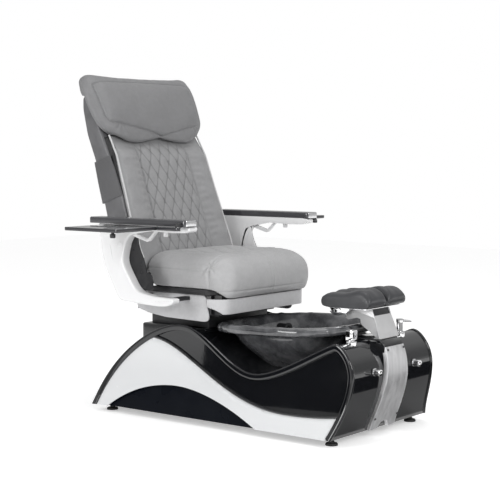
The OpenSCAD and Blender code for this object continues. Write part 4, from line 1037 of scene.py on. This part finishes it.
def pillow_hold(v):
    x, d, s = to_back(v)
    line = away(np.column_stack([x, s]), PILLOW_PANEL, True)
    h = np.where(d > 40, np.clip(1.4 - line / 5, 0, 1), 0.0)
    on_shell = (s > 640) & (s < 840) & (d < 34) & (np.abs(x) < 300)
    return np.where((d < 26) | on_shell, 1.0, h)


def pillow_detail(v):
    x, d, s = to_back(v)
    q = np.column_stack([x, s])
    line = away(q, PILLOW_PANEL, True)
    inside = within(PILLOW_PANEL, q)
    front = np.clip((d - 46) / 10, 0, 1)
    rise = np.where(inside, 7.0 * (1 - np.exp(-line / 12)), -2.5 * np.exp(-line / 16))
    g = rise + groove(line, 2.5, 3.5)
    low = np.where(~inside & (s < 700), groove(away(q, PILLOW_FOLD), 2.0, 5), 0)
    gather_s = 690
    for gather_x in (-235, 235):
        a = np.arctan2(s - gather_s, x - gather_x)
        r = np.hypot(x - gather_x, s - gather_s)
        low = low + 1.2 * np.sin(a * 9) * np.exp(-(r / 60) ** 2) * np.clip(r / 20, 0, 1) * ~inside
    return front * (g + low) + 1.2 * soft_noise(v, 0.010) + 0.5 * soft_noise(v, 0.03)


cushion("head_pillow", "Head pillow", "pillow", "back", 5.5, 8, pillow_hold, pillow_detail,
        cap=12)


# foot pads: a side outline carried across from the gap between the pads, q millimetres along
PAD_RING = [[-431, 508], [-505, 505.6], [-575, 505.6], [-632, 505.6], [-648, 514], [-655, 530], [-655, 545],
            [-648, 560], [-632, 573], [-612, 582], [-592, 585], [-570, 582], [-548, 575], [-526, 571],
            [-504, 570], [-482, 570], [-460, 569], [-440, 565], [-425, 553], [-421, 530]]
PAD_W, PAD_ROUND = 130, 24
PAD_Y, PAD_FLOOR = -545, 505.6
PAD_STEPS = np.concatenate([[0.4, 1.2, 2.5, 4.5, 7, 10, 14, 18], np.arange(22, 110, 4),
                            [112, 116, 120, 123, 125.5, 127.5, 128.8, 129.6]])


def ease(value, start, length):
    """Rises smoothly from 0 at the start to 1."""
    k = np.clip((value - start) / length, 0, 1)
    return k * k * (3 - 2 * k)


def foot_pad(sign, side):
    """One pad with rounded edges, a scoop for the foot, a crease towards its outer edge and a dimple."""
    ring = soften(even(PAD_RING, 5, True), 6)
    up = np.clip((ring[:, 1] - 530) / 28, 0, 1) ** 2
    front = ease(-ring[:, 0], 570, 55)
    rows = []
    for q in PAD_STEPS:
        e = min(q / 1.6, PAD_W - q)
        g = 1 if e > PAD_ROUND else math.sqrt(1 - ((PAD_ROUND - e) / PAD_ROUND) ** 2)
        out = ease(q, 66, 52)
        scoop = -13 * math.exp(-((q - 60) / 25) ** 2) * (1 - 0.8 * front)
        scoop = scoop + 2.5 * math.exp(-((q - 19) / 9) ** 2)
        crease = -2.2 * math.exp(-((q - 96) / 4) ** 2) * (1 - front)
        dimple = -4.5 * np.exp(-((q - 62) / 12) ** 2 - ((ring[:, 0] + 586) / 13) ** 2)
        y = PAD_Y + (ring[:, 0] - PAD_Y) * (0.94 + 0.06 * g)
        fall = 10 * out * (1 - 0.5 * front)
        z = PAD_FLOOR + (ring[:, 1] - PAD_FLOOR) * (0.5 + 0.5 * g) + up * g * (scoop + crease + dimple - fall)
        rows.append(np.column_stack([np.full(len(ring), sign * (8 + q * 127 / PAD_W)), y, z]))
    o = add(f"Foot pad {side}", *tube(rows), "pad", "foot_pads", "pad_leather", [f"foot_pad_{side}"], 70)


both(foot_pad)


# ---------- floor, light and camera
def floor():
    """Pale floor that glows a little where it is seen directly, in gloss or through glass."""
    me = bpy.data.meshes.new("Floor")
    corners = [(x, y, -0.0005) for x, y in ((-9, -9), (9, -9), (9, 9), (-9, 9))]
    me.from_pydata(corners, [], [(0, 1, 2, 3)])
    o = bpy.data.objects.new("Floor", me)
    bpy.context.scene.collection.objects.link(o)
    f = Finish("Pale floor", Roughness=0.6, Specular_IOR_Level=0.1, Emission_Strength=0.42)
    seen = [f.node("LightPath", out=k) for k in ("Is Camera Ray", "Is Glossy Ray", "Is Transmission Ray")]
    seen = f.node("Math", props={"operation": "ADD", "use_clamp": True}, i0=seen[0] + seen[1], i1=seen[2])
    f.use(Base_Color=f.mix(f.noise(3, 2), (0.90, 0.90, 0.90), (0.92, 0.92, 0.92)),
          Emission_Color=f.mix(seen, (0.0, 0.0, 0.0), (1.0, 1.0, 1.0)))
    me.materials.append(f.m)


def world():
    """Room of soft bands of grey for the light and the reflections, and plain white behind the chair."""
    w = bpy.data.worlds.new("Studio")
    bpy.context.scene.world = w
    w.use_nodes = True
    t = w.node_tree
    t.nodes.clear()
    out = t.nodes.new("ShaderNodeOutputWorld")
    mixer = t.nodes.new("ShaderNodeMixShader")
    ray = t.nodes.new("ShaderNodeLightPath")
    room, plain = t.nodes.new("ShaderNodeBackground"), t.nodes.new("ShaderNodeBackground")
    room.inputs["Strength"].default_value = 0.72
    plain.inputs["Color"].default_value = (1, 1, 1, 1)
    plain.inputs["Strength"].default_value = 1.0
    co = t.nodes.new("ShaderNodeTexCoord")
    sep = t.nodes.new("ShaderNodeSeparateXYZ")
    ramp = t.nodes.new("ShaderNodeValToRGB")
    el = ramp.color_ramp.elements
    el[0].position, el[0].color = 0.0, (0.9, 0.9, 0.9, 1)
    el[1].position, el[1].color = 1.0, (0.75, 0.75, 0.75, 1)
    for p, c in ((0.5, 0.85), (0.53, 0.55), (0.62, 0.6), (0.72, 1.0)):
        e = el.new(p)
        e.color = (c, c, c, 1)
    m = t.nodes.new("ShaderNodeMapRange")
    m.inputs[1].default_value, m.inputs[2].default_value = -1, 1
    t.links.new(co.outputs["Generated"], sep.inputs[0])
    t.links.new(sep.outputs[2], m.inputs[0])
    t.links.new(m.outputs[0], ramp.inputs[0])
    t.links.new(ramp.outputs[0], room.inputs["Color"])
    t.links.new(ray.outputs["Is Camera Ray"], mixer.inputs[0])
    t.links.new(room.outputs[0], mixer.inputs[1])
    t.links.new(plain.outputs[0], mixer.inputs[2])
    t.links.new(mixer.outputs[0], out.inputs[0])


def lamp(name, at, aim, size, watts):
    """A soft rectangular lamp that the camera does not see."""
    d = bpy.data.lights.new(name, "AREA")
    d.shape, d.size, d.size_y, d.energy = "RECTANGLE", size[0], size[1], watts
    o = bpy.data.objects.new(name, d)
    bpy.context.scene.collection.objects.link(o)
    o.location = at
    o.rotation_euler = (Vector(aim) - Vector(at)).to_track_quat("-Z", "Y").to_euler()
    o.visible_camera = False


def card(name, centre, size, turn, grey):
    """A plain board beside the chair that only its reflections show. A size is width, depth and height."""
    me = bpy.data.meshes.new(name)
    a, b, h = (k / 2 for k in size)
    me.from_pydata([(-a, -b, -h), (a, -b, -h), (a, b, h), (-a, b, h)], [], [(0, 1, 2, 3)])
    o = bpy.data.objects.new(name, me)
    bpy.context.scene.collection.objects.link(o)
    o.location, o.rotation_euler = centre, (0, 0, math.radians(turn))
    f = Finish(name + " colour", Roughness=0.9, Specular_IOR_Level=0.0)
    f.use(Base_Color=(grey, grey, grey, 1.0))
    me.materials.append(f.m)
    o.visible_camera = o.visible_diffuse = o.visible_shadow = False


floor()
world()
card("Dark_card_side", (-1.6, 0.62, 0.26), (0.8, 0.0, 0.5), 50, 0.01)
card("Grey_card_front", (0.6, -0.78, 0.003), (2.4, 0.28, 0.0), 0, 0.4)
card("Dark_card_front", (0.75, -1.24, 0.004), (2.1, 0.66, 0.0), 0, 0.01)
lamp("Key", (-1.6, -4.6, 2.6), (0, 0, 0.6), (2.2, 1.6), 98)
lamp("Fill", (-4.2, 0.9, 1.7), (0, 0, 0.5), (1.2, 2.4), 62)
lamp("Top", (0.4, -0.2, 4.2), (0, 0, 0.5), (2.5, 2.5), 32)

cam = bpy.data.cameras.new("Camera")
cam.lens, cam.sensor_width = 96.31, 36
eye = bpy.data.objects.new("Camera", cam)
bpy.context.scene.collection.objects.link(eye)
eye.location = (-4.4271, -3.4159, 1.1244)
eye.rotation_euler = (math.radians(85.6439), 0, math.radians(-52.1009))
bpy.context.scene.camera = eye
bpy.context.scene.view_settings.view_transform = "Standard"
